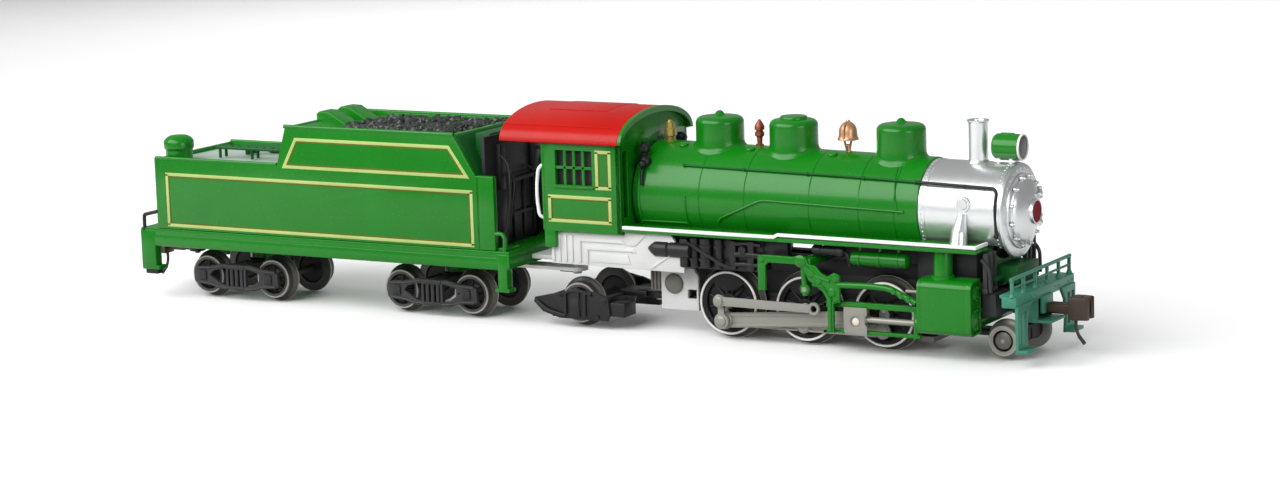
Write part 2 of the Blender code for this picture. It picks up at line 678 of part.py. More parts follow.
def flat_rod(ends, width, bosses, y_from, y_to, holes):
    """A motion rod: a straight bar with a round boss and a hole at each named pin."""
    (s1, h1), (s2, h2) = ends
    length = math.hypot(s2 - s1, h2 - h1)
    across = (-(h2 - h1) / length * width / 2, (s2 - s1) / length * width / 2)
    bar = [(s1 + across[0], h1 + across[1]), (s1 - across[0], h1 - across[1]),
           (s2 - across[0], h2 - across[1]), (s2 + across[0], h2 + across[1])]
    low, high = sorted((y_from, y_to))
    shape = side_plate(bar, low, high)
    shape = union(shape, *[rod((s, low - 0.03, h), (s, high + 0.03, h), r) for s, h, r in bosses])
    return cut(shape, *[rod((s, low - 1, h), (s, high + 1, h), r) for s, h, r in holes])


def motion(bodies):
    rear = DRIVER_STATIONS["rear"]
    for side_name, side in SIDES.items():
        along, up = crank_offset(side)
        pin_height = DRIVER_RADIUS + up
        pins = [(s + along, pin_height) for s in DRIVER_STATIONS.values()]
        bosses = [(s, h, 1.05) for s, h in pins]
        bores = (0.64, 0.58, 0.58)
        holes = [(pin[0], pin_height, bore) for pin, bore in zip(pins, bores)]
        shape = flat_rod((pins[0], pins[2]), 1.3, bosses, side * 5.72, side * 6.3, holes)
        finish(f"side_rod_{side_name}", shape, STEEL, bodies[f"side_rod_{side_name}"])

        wrist = wrist_point(side)
        bosses = [(*pins[0], 1.15), (*wrist, 0.95)]
        holes = [(*pins[0], 0.64), (*wrist, 0.5)]
        shape = flat_rod((pins[0], wrist), 1.15, bosses, side * 6.5, side * 7.15, holes)
        finish(f"main_rod_{side_name}", shape, STEEL, bodies[f"main_rod_{side_name}"])

        shift = wrist[0] - WRIST_STATION
        block = side_box(side, (7.1 + shift, 10.3 + shift), (7.45, 9.0), (2.75, 5.35), 0.15)
        pin = rod((wrist[0], side * 7.3, wrist[1]), (wrist[0], side * 9.15, wrist[1]), 0.5)
        piston = rod(
            (10.0 + shift, side * PISTON_Y, PISTON_HEIGHT), (20.4 + shift, side * PISTON_Y, PISTON_HEIGHT), 0.4
        )
        finish(f"crosshead_{side_name}", union(block, pin, piston), STEEL, bodies[f"crosshead_{side_name}"])

        e_along, e_up = eccentric_offset(side)
        start = (rear + along, DRIVER_RADIUS + up)
        end = (rear + e_along, DRIVER_RADIUS + e_up)
        low, high = sorted((side * 7.3, side * 7.7))
        crank = flat_rod((start, end), 0.9, [(*start, 0.85), (*end, 0.6)], low, high, [])
        crank = union(
            crank,
            rod((start[0], side * 5.68, start[1]), (start[0], side * 7.4, start[1]), 0.55),
            rod((end[0], side * 7.6, end[1]), (end[0], side * 8.3, end[1]), 0.36),
        )
        finish(f"return_crank_{side_name}", crank, STEEL, bodies["rear"])

        shift_s = e_along - ECCENTRIC_PIN[0]
        shift_h = e_up - ECCENTRIC_PIN[1]
        front = (ECCENTRIC_ROD_FRONT[0] + shift_s, ECCENTRIC_ROD_FRONT[1] + shift_h)
        shape = flat_rod((end, front), 0.75, [(*end, 0.72), (*front, 0.85)], side * 7.8, side * 8.2,
                         [(*end, 0.44), (*front, 0.45)])
        finish(f"eccentric_rod_{side_name}", shape, STEEL, bodies[f"eccentric_rod_{side_name}"])


def wrist_point(side):
    """Where the main rod's front pin lies. The rod has one length, so the left one follows its own crank."""
    rear = DRIVER_STATIONS["rear"]
    length = math.hypot(WRIST_STATION - rear, WRIST_HEIGHT - DRIVER_RADIUS + CRANK_RADIUS)
    along, up = crank_offset(side)
    rise = WRIST_HEIGHT - DRIVER_RADIUS - up
    return rear + along + math.sqrt(length ** 2 - rise ** 2), WRIST_HEIGHT


def cylinders():
    s_from, s_to, h_from, h_to = CYLINDER
    blocks = []
    for side in SIDES.values():
        inner, outer = CYLINDER_INSIDE, CYLINDER_HALF_WIDTH
        outline = [(inner, h_from + 0.1), (outer - 0.5, h_from), (outer, h_from + 0.5), (outer, h_to - 1.1),
                   (outer - 0.25, h_to - 0.45), (outer - 0.9, h_to), (inner, h_to)]
        blocks.append(end_plate([(side * y, h) for y, h in outline], s_from, s_to))
    bridge = box((18.2, -7.2, 3.4), (24.6, 7.2, 4.7))
    truck_pin = rod((PILOT_PIVOT, 0, 4.0), (PILOT_PIVOT, 0, 1.2), 0.6)
    body = union(blocks[0], bridge, blocks[1], truck_pin)
    for side in SIDES.values():
        y, h = side * PISTON_Y, PISTON_HEIGHT
        body = cut(body, rod((s_from - 1, y, h), (s_from + 7.0, y, h), 0.55))
    for side in SIDES.values():
        pipe = rod((20.6, side * 7.6, h_to - 0.3), (20.6, side * 7.3, 13.3), 1.15)
        body = union(body, pipe)
    finish("cylinder_block", body, GREEN)

    saddle = box((24.5, -3.4, 8.9), (29.0, 3.4, 11.2))
    saddle = union(saddle, box((24.5, -4.4, 8.9), (25.9, 4.4, 12.2)))
    smokebox_cut = rod((20, 0, BOILER_HEIGHT), (30, 0, BOILER_HEIGHT), SMOKEBOX_RADIUS + 0.1, sides=40)
    finish("smokebox_saddle", cut(saddle, smokebox_cut), GREEN)


def hangers():
    outline = [(-4.7, 7.1), (-3.5, 7.1), (-3.5, 10.8), (1.2, 10.6), (2.2, 9.9), (5.4, 7.6), (5.2, 2.15),
               (6.1, 2.15), (6.2, 5.8), (7.3, 5.9), (7.3, 8.1), (15.9, 8.5), (15.9, 9.1), (7.3, 8.9),
               (7.2, 10.3), (6.0, 10.4), (3.0, 11.6), (1.9, 12.0), (1.0, 11.8), (-4.7, 11.9)]
    inside, outside = 9.1, 9.65
    guides = (4.9, CYLINDER[0] - 0.1)
    for side_name, side in SIDES.items():
        shape = side_plate(outline, side * inside, side * outside)
        shape = union(
            shape,
            rod((1.9, side * (inside - 0.06), 10.9), (1.9, side * (outside + 0.06), 10.9), 1.1),
            side_box(side, guides, (7.9, 8.9), (5.45, 5.95)),
            side_box(side, guides, (7.9, 8.9), (2.1, 2.6)),
            side_box(side, (5.3, 6.0), (8.3, 9.3), (5.52, 5.88)),
            side_box(side, (5.3, 6.0), (8.3, 9.3), (2.22, 2.52)),
            side_box(side, (1.2, 2.8), (FRAME_OUTSIDE + 0.1, 9.3), (10.5, 11.5)),
        )
        finish(f"valve_gear_hanger_{side_name}", shape, GREEN)


def pilot():
    pieces = [
        box((25.6, -8.2, 7.9), (29.4, 8.2, 8.4)),  # deck
        box((28.2, -2.4, 3.9), (32.9, 2.4, 4.3)),  # floor of the coupler pocket
        box((30.25, -9.57, 10.35), (30.8, 9.57, 10.8)),  # top rail
        box((30.35, -9.3, 9.3), (30.7, 9.3, 9.6)),
    ]
    step = [(9.1, 1.2), (9.2, 7.2), (4.6, 7.2), (5.9, 5.6), (6.3, 3.6), (6.0, 1.2)]
    slot = [(7.2, 2.4), (7.2, 6.0), (8.1, 6.0), (8.1, 2.4)]
    for side in SIDES.values():
        pieces.append(side_box(side, (28.2, 31.0), (1.95, 2.4), (3.9, 7.1)))
        step_side = [(side * y, h) for y, h in step]
        slot_side = [(side * y, h) for y, h in slot]
        pieces.append(end_plate(step_side, 30.9, 31.4, [slot_side]))
        pieces.append(side_box(side, (30.9, 32.5), (6.0, 9.1), (1.2, 1.7)))
        for y in (1.9, 5.6, 9.1):
            pieces.append(side_box(side, (30.3, 30.75), (y - 0.2, y + 0.2), (8.2, 10.6)))
    beam = box((29.1, -9.32, 6.9), (31.2, 9.32, 8.4))
    finish("pilot", union(beam, *pieces), TEAL)


def coupler(name, pivot, reach, body):
    """A knuckle coupler on its shank: reach is +1 when it points forward and -1 when it points back."""
    def place(along, h):
        return (pivot + reach * along, 0, h)

    def bar(along, ys, heights, bevel=0.0):
        low, high = sorted(pivot + reach * a for a in along)
        return box((low, ys[0], heights[0]), (high, ys[1], heights[1]), bevel)

    eye = rod(place(0, 5.0), place(0, 6.2), 1.2)
    shank = bar((0.3, 5.6), (-0.75, 0.75), (5.0, 6.2))
    head = bar((5.0, 7.6), (-1.35, 1.35), (4.3, 7.3), 0.3)
    mouth = bar((6.3, 8.4), (-0.45, 0.5), (4.0, 7.6))
    hole = rod(place(0, 4.5), place(0, 6.6), 0.5)
    pin = wire([place(5.6, 4.6), place(5.5, 3.4), place(5.8, 2.2), place(6.7, 1.05)], 0.22)
    shape = cut(union(eye, shank, head), mouth, hole)
    finish(name, union(shape, pin), STEEL, body)


def pilot_truck(frame_body, wheel_body):
    yoke = box((PILOT_PIVOT, -1.58, 1.62), (26.6, 1.58, 2.38))
    block = box((26.2, -2.9, 1.2), (29.2, 2.9, 3.3))
    truck = union(yoke, block, rod((PILOT_PIVOT, 0, 1.6), (PILOT_PIVOT, 0, 2.4), 1.6))
    truck = cut(
        truck,
        rod((PILOT_PIVOT, 0, 0), (PILOT_PIVOT, 0, 5), 0.75),
        rod((PILOT_AXLE, -4, PILOT_WHEEL_RADIUS), (PILOT_AXLE, 4, PILOT_WHEEL_RADIUS), 0.62),
        box((PILOT_AXLE - 0.62, -4, 0), (PILOT_AXLE + 0.62, 4, PILOT_WHEEL_RADIUS)),
    )
    finish("pilot_truck_frame", truck, BLACK, frame_body)
    small_wheelset("pilot_wheelset", PILOT_AXLE, PILOT_WHEEL_RADIUS, 5.75, wheel_body)


def trailing_truck(frame_body, wheel_body):
    arm = box((-30.0, -1.7, 3.3), (TRAILING_PIVOT, 1.7, 4.2))
    cross = box((-30.3, -6.8, 2.9), (-29.2, 6.8, 3.8))
    outline = [(-43.6, 0.75), (-40.6, 0.6), (-29.2, 0.6), (-28.6, 1.6), (-29.0, 3.9), (-31.0, 4.6),
               (-33.6, 4.6), (-34.8, 5.0), (-36.0, 4.2), (-38.4, 2.2)]
    sides = [side_plate(outline, side * 6.0, side * 6.9) for side in SIDES.values()]
    rear_bar = box((-43.0, -6.5, 0.8), (-41.4, 6.5, 1.7))
    eye = rod((TRAILING_PIVOT, 0, 3.26), (TRAILING_PIVOT, 0, 4.24), 1.75)
    truck = cut(
        union(arm, cross, *sides, rear_bar, eye),
        rod((TRAILING_PIVOT, 0, 2), (TRAILING_PIVOT, 0, 6), 0.75),
        rod((TRAILING_AXLE, -6.45, SMALL_WHEEL_RADIUS), (TRAILING_AXLE, 6.45, SMALL_WHEEL_RADIUS), 0.6),
    )
    finish("trailing_truck_frame", truck, BLACK, frame_body)
    small_wheelset("trailing_wheelset", TRAILING_AXLE, SMALL_WHEEL_RADIUS, 6.25, wheel_body)


# ---- tender ----

def drawbar(body):
    bar = box((TENDER_PIN, -1.48, 6.12), (LOCO_PIN, 1.48, 6.58))
    eyes = [rod((s, 0, 6.1), (s, 0, 6.6), 1.5, sides=16) for s in (LOCO_PIN, TENDER_PIN)]
    holes = [rod((s, 0, 5), (s, 0, 8), 0.75) for s in (LOCO_PIN, TENDER_PIN)]
    finish("drawbar", cut(union(bar, *eyes), *holes), STEEL, body)


def tender(body):
    outer = TENDER_HALF_WIDTH
    tank = box((TENDER_REAR, -outer, TENDER_FLOOR + GAP), (TENDER_FRONT, outer, TENDER_DECK))
    bunker_foot = TENDER_DECK - 0.5
    bunker = side_plate(
        [(-80.4, bunker_foot), (-78.7, BUNKER_TOP), (-51.0, BUNKER_TOP), (-47.6, bunker_foot)], -outer, outer
    )
    deck_recess = box(
        (TENDER_REAR + 0.7, -outer + 0.6, TENDER_DECK - 0.6), (-80.6, outer - 0.6, TENDER_DECK + 1)
    )
    coal_pit = box((-71.6, -outer + 0.8, BUNKER_TOP - 2.2), (-51.6, outer - 0.8, BUNKER_TOP + 1))
    inner = outer - TENDER_WALL
    hollow = box(
        (TENDER_REAR + TENDER_WALL, -inner, 8.0), (TENDER_FRONT - TENDER_WALL, inner, TENDER_DECK - 1.5)
    )
    shell = cut(union(tank, bunker), deck_recess, coal_pit, hollow)
    pieces = []
    for side in SIDES.values():
        boards = (-76.2, -72.2), (1.2, 8.0), (BUNKER_TOP - 0.3, BUNKER_TOP + 1.4)
        pieces.append(side_box(side, *boards, 0.5))
        post = (TENDER_FRONT - 0.2, TENDER_FRONT + 2.4), (8.2, outer), (TENDER_FLOOR + GAP, TENDER_DECK)
        pieces.append(side_box(side, *post))
    deck = TENDER_DECK - 0.9
    pieces.append(turned(
        [(0.0, 22.75), (1.7, 22.7), (2.1, 22.4), (2.1, 21.0), (1.6, 20.7), (1.6, deck), (0.0, deck)],
        (-99.4, -6.4, 0), (0, 0, 1), PIN_SIDES,
    ))
    pieces.append(box((-96.0, -1.0, deck), (-80.0, 0.4, TENDER_DECK + 0.9)))
    finish("tender_shell", union(shell, *pieces), GREEN, body)


def coal_load(body):
    """A lumpy sheet over the bunker, crowned in the middle and level along its rim."""
    length = 19.6
    half_width = TENDER_HALF_WIDTH - 1.1
    shape = bmesh.new()
    bmesh.ops.create_grid(shape, x_segments=12, y_segments=8, size=0.5)
    for vert in shape.verts:
        s = -61.6 + vert.co.x * length
        y = vert.co.y * 2 * half_width
        on_rim = max(abs(vert.co.x), abs(vert.co.y)) > 0.499
        lump = 0.9 * noise.noise(Vector((s * 0.7, y * 0.7, 4.0)))
        mound = 1.5 * (1 - (y / half_width) ** 2)
        vert.co = point(s, y, BUNKER_TOP - 0.1 + (0.0 if on_rim else mound + lump))
    coal = from_bmesh(shape)
    thick = coal.modifiers.new("Solidify", "SOLIDIFY")
    thick.thickness = 1.6
    thick.offset = -1.0
    finish("coal_load", applied(coal), COAL, body)


def tender_underframe(body):
    half = TENDER_HALF_WIDTH + 0.12
    rear, front = -105.0, -42.6
    pieces = [
        box((-101.0, -8.3, TENDER_FLOOR - 0.4), (-47.9, 8.3, TENDER_DECK - 1.7)),  # the weight
        box((rear, -half, SILL_BOTTOM + 0.1), (rear + 1.0, half, 8.9)),
        box((front - 1.0, -half, SILL_BOTTOM + 0.6), (front, half, 8.9)),
        box((-104.2, -2.2, 6.35), (-99.5, 2.2, 8.9)),  # coupler pocket
        rod((REAR_COUPLER_PIVOT, 0, 6.6), (REAR_COUPLER_PIVOT, 0, 4.6), 0.42),
        rod((TENDER_PIN, 0, 8.8), (TENDER_PIN, 0, 5.9), 0.6),
    ]
    for side in SIDES.values():
        pieces.append(side_box(side, (rear, front), (half - 1.0, half), (SILL_BOTTOM, 8.9)))
        pieces.append(side_box(side, (rear + 0.05, -102.4), (half - 1.5, half), (3.6, SILL_BOTTOM + 0.2)))
        pieces.append(side_box(side, (-44.5, -43.0), (half - 1.5, half), (4.1, SILL_BOTTOM + 0.2)))
    for s in TRUCK_STATIONS.values():
        pieces.append(rod((s, 0, 8.8), (s, 0, 4.75), 1.8))
        pieces.append(rod((s, 0, 8.8), (s, 0, 3.4), 0.7))
    floor = box((rear, -half, 8.5), (front, half, TENDER_FLOOR))
    finish("tender_underframe", union(floor, *pieces), GREEN, body)


def tender_truck(place, s, frame_body, wheel_bodies):
    half_base = TRUCK_WHEELBASE / 2
    bolster = box((s - 1.3, -6.2, 3.5), (s + 1.3, 6.2, 4.6))
    foot = [(7.4, 1.9), (6.9, 1.55), (4.4, 1.45), (3.0, 0.95)]
    top = [(2.6, 4.7), (4.4, 4.25), (6.6, 4.15), (7.3, 3.7)]
    outline = foot + [(-x, h) for x, h in foot[::-1]] + [(-x, h) for x, h in top[::-1]] + top
    sides = []
    for side in SIDES.values():
        frame = side_plate([(s + x, h) for x, h in outline], side * 6.0, side * 6.9)
        windows = [side_box(side, (s + x - 1.1, s + x + 1.1), (5.5, 7.2), (1.9, 3.6)) for x in (-2.9, 2.9)]
        sides.append(cut(frame, *windows))
    truck = union(bolster, *sides, rod((s, 0, 3.44), (s, 0, 4.64), 2.0))
    truck = cut(truck, rod((s, 0, 2), (s, 0, 6), 0.85))
    for sign in (1, -1):
        axle = s + sign * half_base
        truck = cut(truck, rod((axle, -6.45, SMALL_WHEEL_RADIUS), (axle, 6.45, SMALL_WHEEL_RADIUS), 0.6))
    finish(f"tender_truck_frame_{place}", truck, BLACK, frame_body)
    for end, sign in (("a", 1), ("b", -1)):
        axle = s + sign * half_base
        small_wheelset(f"tender_wheelset_{place}_{end}", axle, SMALL_WHEEL_RADIUS, 6.25, wheel_bodies[end])


# ---- assembly ----

def main():
    boiler_shell()
    smokebox()
    fittings()
    running_boards()
    cab()
    frames()
    keeper()
    firebox_frame()
    motor()
    cylinders()
    hangers()
    pilot()

    rear = DRIVER_STATIONS["rear"]
    bodies = {
        place: joint_empty(f"joint_driver_{place}", s, 0, DRIVER_RADIUS)
        for place, s in DRIVER_STATIONS.items()
    }
    for side_name, side in SIDES.items():
        along, up = crank_offset(side)
        e_along, e_up = eccentric_offset(side)
        for name in ("side_rod", "main_rod"):
            bodies[f"{name}_{side_name}"] = joint_empty(
                f"joint_{name}_{side_name}", rear + along, side * 6.5, DRIVER_RADIUS + up
            )
        bodies[f"eccentric_rod_{side_name}"] = joint_empty(
            f"joint_eccentric_rod_{side_name}", rear + e_along, side * 8.0, DRIVER_RADIUS + e_up
        )
        bodies[f"crosshead_{side_name}"] = joint_empty(
            f"joint_crosshead_{side_name}", wrist_point(side)[0], side * PISTON_Y, PISTON_HEIGHT
        )
    drivers(bodies)
    motion(bodies)

    gear("axle_gear", AXLE_GEAR_TEETH, rear, DRIVER_RADIUS, 0.7, AXLE_RADIUS + 0.07, 0.0, bodies["rear"])
    gear("idler_gear", IDLER_TEETH, rear, IDLER_HEIGHT, 0.7, 0.42, 180 / IDLER_TEETH,
         joint_empty("joint_idler", rear, 0, IDLER_HEIGHT))
    worm(joint_empty("joint_worm", rear, 0, MOTOR_HEIGHT))

    pilot_truck(joint_empty("joint_pilot_truck", PILOT_PIVOT, 0, 2.0),
                joint_empty("joint_pilot_wheelset", PILOT_AXLE, 0, PILOT_WHEEL_RADIUS))
    trailing_truck(joint_empty("joint_trailing_truck", TRAILING_PIVOT, 0, 3.75),
                   joint_empty("joint_trailing_wheelset", TRAILING_AXLE, 0, SMALL_WHEEL_RADIUS))
    coupler("front_coupler", FRONT_COUPLER_PIVOT, 1,
            joint_empty("joint_front_coupler", FRONT_COUPLER_PIVOT, 0, COUPLER_HEIGHT))

    drawbar(joint_empty("joint_drawbar", LOCO_PIN, 0, 6.35))
    tender_joint = joint_empty("joint_tender", TENDER_PIN, 0, 6.35)
    tender(tender_joint)
    coal_load(tender_joint)
    tender_underframe(tender_joint)
    for place, s in TRUCK_STATIONS.items():
        wheel_joints = {
            end: joint_empty(
                f"joint_tender_wheelset_{place}_{end}", s + sign * TRUCK_WHEELBASE / 2, 0, SMALL_WHEEL_RADIUS
            )
            for end, sign in (("a", 1), ("b", -1))
        }
        tender_truck(place, s, joint_empty(f"joint_tender_truck_{place}", s, 0, 4.0), wheel_joints)
    coupler("rear_coupler", REAR_COUPLER_PIVOT, -1,
            joint_empty("joint_rear_coupler", REAR_COUPLER_PIVOT, 0, COUPLER_HEIGHT))


main()
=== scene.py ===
"""The finished look of the model steam locomotive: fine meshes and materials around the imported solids.

Places are given as stations (s, millimetres forward from the middle driving axle), y (to the locomotive's left)
and heights (h, above the rail top), as in the design. Each piece is built in millimetres and finished in metres.
"""

from math import cos, hypot, pi, radians, sin, sqrt

import bmesh
import bpy
import numpy as np
from mathutils import Matrix, Vector, noise


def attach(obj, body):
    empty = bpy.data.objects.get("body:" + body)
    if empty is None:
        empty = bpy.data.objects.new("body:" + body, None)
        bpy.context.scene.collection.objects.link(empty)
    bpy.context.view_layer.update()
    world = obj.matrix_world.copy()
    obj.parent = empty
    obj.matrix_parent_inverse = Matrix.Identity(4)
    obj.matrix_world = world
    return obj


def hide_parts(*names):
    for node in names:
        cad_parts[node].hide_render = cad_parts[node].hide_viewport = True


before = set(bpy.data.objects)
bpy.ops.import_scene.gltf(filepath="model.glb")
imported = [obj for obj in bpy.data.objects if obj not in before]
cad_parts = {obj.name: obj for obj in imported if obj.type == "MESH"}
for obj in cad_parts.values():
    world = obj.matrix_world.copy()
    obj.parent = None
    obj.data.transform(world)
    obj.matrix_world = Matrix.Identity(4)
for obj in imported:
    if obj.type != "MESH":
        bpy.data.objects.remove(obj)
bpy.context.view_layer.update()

MM = 0.001
ORIGIN_STATION = -36.175
FLANGE = 0.6
SIDES = {"right": -1, "left": 1}
FORWARD, BACK, OUT, UP = (1, 0, 0), (-1, 0, 0), (0, 1, 0), (0, 0, 1)

# ---- driving dimensions, in millimetres ----
BOILER_HEIGHT = 17.72
SMOKEBOX_RADIUS = 6.05
SMOKEBOX_REAR = 16.4
SMOKEBOX_FRONT = 27.5
BOILER_RADIUS_FRONT = 6.25
BOILER_RADIUS_REAR = 6.85
BOILER_REAR = -24.9
BARREL_REAR = -23.9
FIREBOX_FRONT = -16.7
BARREL_OPENING = radians(42)  # half angle of the slot below the barrel
BOARD_UNDER = 13.4
LINING = 0.44  # the width of a gold line
BOARD_TOP = 14.2
BOARD_STEP = -2.1
DOMES = {"sand_rear": -14.85, "steam": -3.95, "sand_front": 11.47}
DOME_RADIUS = 3.19
DOME_SHOULDER = 28.1
WALL = 0.6

CAB = (-36.9, -25.0)
CAB_HALF = 9.15
ROOF = (-43.1, -24.9)
ROOF_HALF = 9.9
ROOF_EAVE = 25.0
ROOF_RISE = 3.9
WINDOW = (-34.9, -29.3, 19.3, 23.9)

DRIVER_RADIUS = 4.23
DRIVERS = {"rear": -11.27, "middle": 0.0, "front": 11.27}
CRANK = 2.05
PILOT_AXLE = 27.68
TRAILING_AXLE = -34.0
SMALL_RADIUS = 2.76
PILOT_RADIUS = 2.0
TRUCKS = {"front": -56.94, "rear": -90.28}
TRUCK_HALF_BASE = 5.705
WRIST_HEIGHT = 3.75
WRIST_STATION = 8.9
PISTON_Y = 8.35
PISTON_HEIGHT = 4.0
CYLINDER = (17.85, 25.32, 3.0, 10.0)

TENDER = (-101.87, -47.0)
TENDER_HALF = 9.16
TENDER_FLOOR = 9.71
TENDER_DECK = 19.78
BUNKER_TOP = 25.2
SILL = (-105.0, -42.6)
SILL_HALF = 9.28
SILL_BOTTOM = 6.6


# ---- materials ----


def scaled(nodes, links, output, low, high):
    """A noise value (about 0.3 to 0.7) spread over low to high."""
    spread = nodes.new("ShaderNodeMapRange")
    spread.inputs["From Min"].default_value = 0.3
    spread.inputs["From Max"].default_value = 0.7
    spread.inputs["To Min"].default_value = low
    spread.inputs["To Max"].default_value = high
    links.new(output, spread.inputs["Value"])
    return spread.outputs["Result"]


def finish_of(name, colour, roughness, metallic=0.0, tint=0.12, clouds=160.0, grain=3200.0,
              stretch=(1, 1, 1),
              bump=0.04, coat=0.0, rough_spread=0.04, depth=0.00002, shine=0.3):
    """A painted, moulded or metal surface: cloudy tone, fine grain in roughness and relief."""
    made = bpy.data.materials.new(name)
    made.use_nodes = True
    nodes, links = made.node_tree.nodes, made.node_tree.links
    shader = nodes["Principled BSDF"]
    shader.inputs["Metallic"].default_value = metallic
    shader.inputs["Coat Weight"].default_value = coat
    shader.inputs["Coat Roughness"].default_value = 0.08
    shader.inputs["Specular IOR Level"].default_value = shine
    place = nodes.new("ShaderNodeTexCoord")
    mapping = nodes.new("ShaderNodeMapping")
    mapping.inputs["Scale"].default_value = stretch
    links.new(place.outputs["Object"], mapping.inputs["Vector"])
    cloud = nodes.new("ShaderNodeTexNoise")
    cloud.inputs["Scale"].default_value = clouds
    cloud.inputs["Detail"].default_value = 4.0
    links.new(mapping.outputs["Vector"], cloud.inputs["Vector"])
    fine = nodes.new("ShaderNodeTexNoise")
    fine.inputs["Scale"].default_value = grain
    fine.inputs["Detail"].default_value = 3.0
    links.new(mapping.outputs["Vector"], fine.inputs["Vector"])
    tone = nodes.new("ShaderNodeMix")
    tone.data_type = "RGBA"
    tone.inputs["A"].default_value = (*[c * (1 - tint) for c in colour], 1.0)
    tone.inputs["B"].default_value = (*[min(1.0, c * (1 + tint)) for c in colour], 1.0)
    links.new(scaled(nodes, links, cloud.outputs["Fac"], 0.0, 1.0), tone.inputs["Factor"])
    links.new(tone.outputs["Result"], shader.inputs["Base Color"])
    links.new(
        scaled(nodes, links, fine.outputs["Fac"], roughness - rough_spread, roughness + rough_spread),
        shader.inputs["Roughness"],
    )
    relief = nodes.new("ShaderNodeBump")
    relief.inputs["Strength"].default_value = bump
    relief.inputs["Distance"].default_value = depth
    links.new(fine.outputs["Fac"], relief.inputs["Height"])
    links.new(relief.outputs["Normal"], shader.inputs["Normal"])
    return made


GREEN = finish_of("glossy_green", (0.004, 0.166, 0.005), 0.24, coat=0.08, tint=0.06,
                  shine=0.3)
# A darker copy of the body green for painted shade: on the boiler handrails, the smokebox saddle and the sheet over
# the bunker's front slope; the deck tools take it too
DEEP_GREEN = finish_of("green_in_shade", (0.006, 0.08, 0.014), 0.4, tint=0.12, shine=0.2)
TEAL = finish_of("teal_plastic", (0.045, 0.215, 0.142), 0.38, tint=0.1, shine=0.3)
RED = finish_of("roof_red", (0.42, 0.005, 0.002), 0.32, coat=0.0, tint=0.05, shine=0.2)
SILVER = finish_of("smokebox_silver", (0.66, 0.68, 0.68), 0.32, metallic=0.85, tint=0.03)
CASTING = finish_of("silver_casting", (0.62, 0.625, 0.61), 0.42, metallic=0.2, tint=0.05,
                    bump=0.12, grain=2200.0)
WHITE = finish_of("white_edge", (0.86, 0.87, 0.86), 0.35, tint=0.03)
GOLD = finish_of("lining_gold", (0.42, 0.52, 0.17), 0.42, tint=0.08, shine=0.2)
OLIVE = finish_of("lining_shadow", (0.1, 0.1, 0.012), 0.45, tint=0.12, shine=0.2)
BLACK = finish_of("black_plastic", (0.009, 0.009, 0.01), 0.38, tint=0.25, bump=0.1)
# Near black: the own colour of the blackened chassis, truck and wheel parts, and also painted shade inside the cab,
# at the tender front and between the drivers
BLACKENED_AND_SHADE = finish_of("blackened_and_painted_shade", (0.014, 0.014, 0.015), 0.5, tint=0.25, bump=0.1)
GREY = finish_of("grey_plastic", (0.028, 0.028, 0.03), 0.45, tint=0.2, bump=0.1)
WHEEL_BLACK = finish_of("wheel_centre", (0.008, 0.008, 0.009), 0.45, tint=0.2, shine=0.2)
RODS = finish_of("brushed_rods", (0.26, 0.255, 0.225), 0.38, metallic=0.35, tint=0.1,
                 stretch=(0.08, 1, 1), bump=0.08)
TYRE = finish_of("nickel_tyre", (0.74, 0.73, 0.7), 0.34, metallic=0.25, tint=0.04, bump=0.0)
RIM = finish_of("worn_rim", (0.36, 0.35, 0.32), 0.36, metallic=0.4, tint=0.1, bump=0.0)
DARK_TYRE = finish_of("chemical_blackened", (0.075, 0.07, 0.062), 0.38, metallic=0.4,
                      tint=0.15, bump=0.03)
COPPER = finish_of("copper_bell", (0.6, 0.33, 0.19), 0.38, metallic=0.7, tint=0.12)
BRASS = finish_of("brass", (0.36, 0.27, 0.07), 0.36, metallic=0.6, tint=0.12)
WHISTLE = finish_of("aged_copper", (0.26, 0.075, 0.04), 0.4, metallic=0.5, tint=0.2)
COUPLER = finish_of("oiled_iron", (0.05, 0.038, 0.028), 0.42, metallic=0.45, tint=0.25,
                    bump=0.1)
LEAD = finish_of("zinc_casting", (0.15, 0.145, 0.13), 0.5, metallic=0.4, tint=0.15, bump=0.1)
NYLON = finish_of("gear_nylon", (0.7, 0.64, 0.52), 0.45, tint=0.05)
LENS = finish_of("dark_lens", (0.008, 0.01, 0.012), 0.2, tint=0.2, bump=0.0, coat=0.3)
PLATE_RED = finish_of("dark_red_plate", (0.2, 0.004, 0.008), 0.55, tint=0.1, shine=0.1)
# A pale grey-green: painted reflection of the bright surroundings on the tender's flat deck
DECK = finish_of("pale_deck", (0.34, 0.42, 0.36), 0.5, tint=0.1)
COAL = finish_of("coal_black", (0.024, 0.03, 0.026), 0.3, tint=0.5, clouds=700.0, grain=1800.0,
                 bump=0.4,
                 rough_spread=0.1, depth=0.00004, shine=0.45)


# ---- building pieces ----

def spot(s, y, h):
    return Vector((s - ORIGIN_STATION, y, h + FLANGE))


def facing(direction):
    """Rotation that takes local +Z to the direction, with local +X kept level."""
    z = Vector(direction).normalized()
    up = Vector((0, 0, 1)) if abs(z.z) < 0.9 else Vector((1, 0, 0))
    x = up.cross(z).normalized()
    return Matrix((x, z.cross(x), z)).transposed().to_4x4()


def arc(centre, radius, start, end, steps):
    turns = [radians(start + (end - start) * i / steps) for i in range(steps + 1)]
    return [(centre[0] + radius * cos(t), centre[1] + radius * sin(t)) for t in turns]


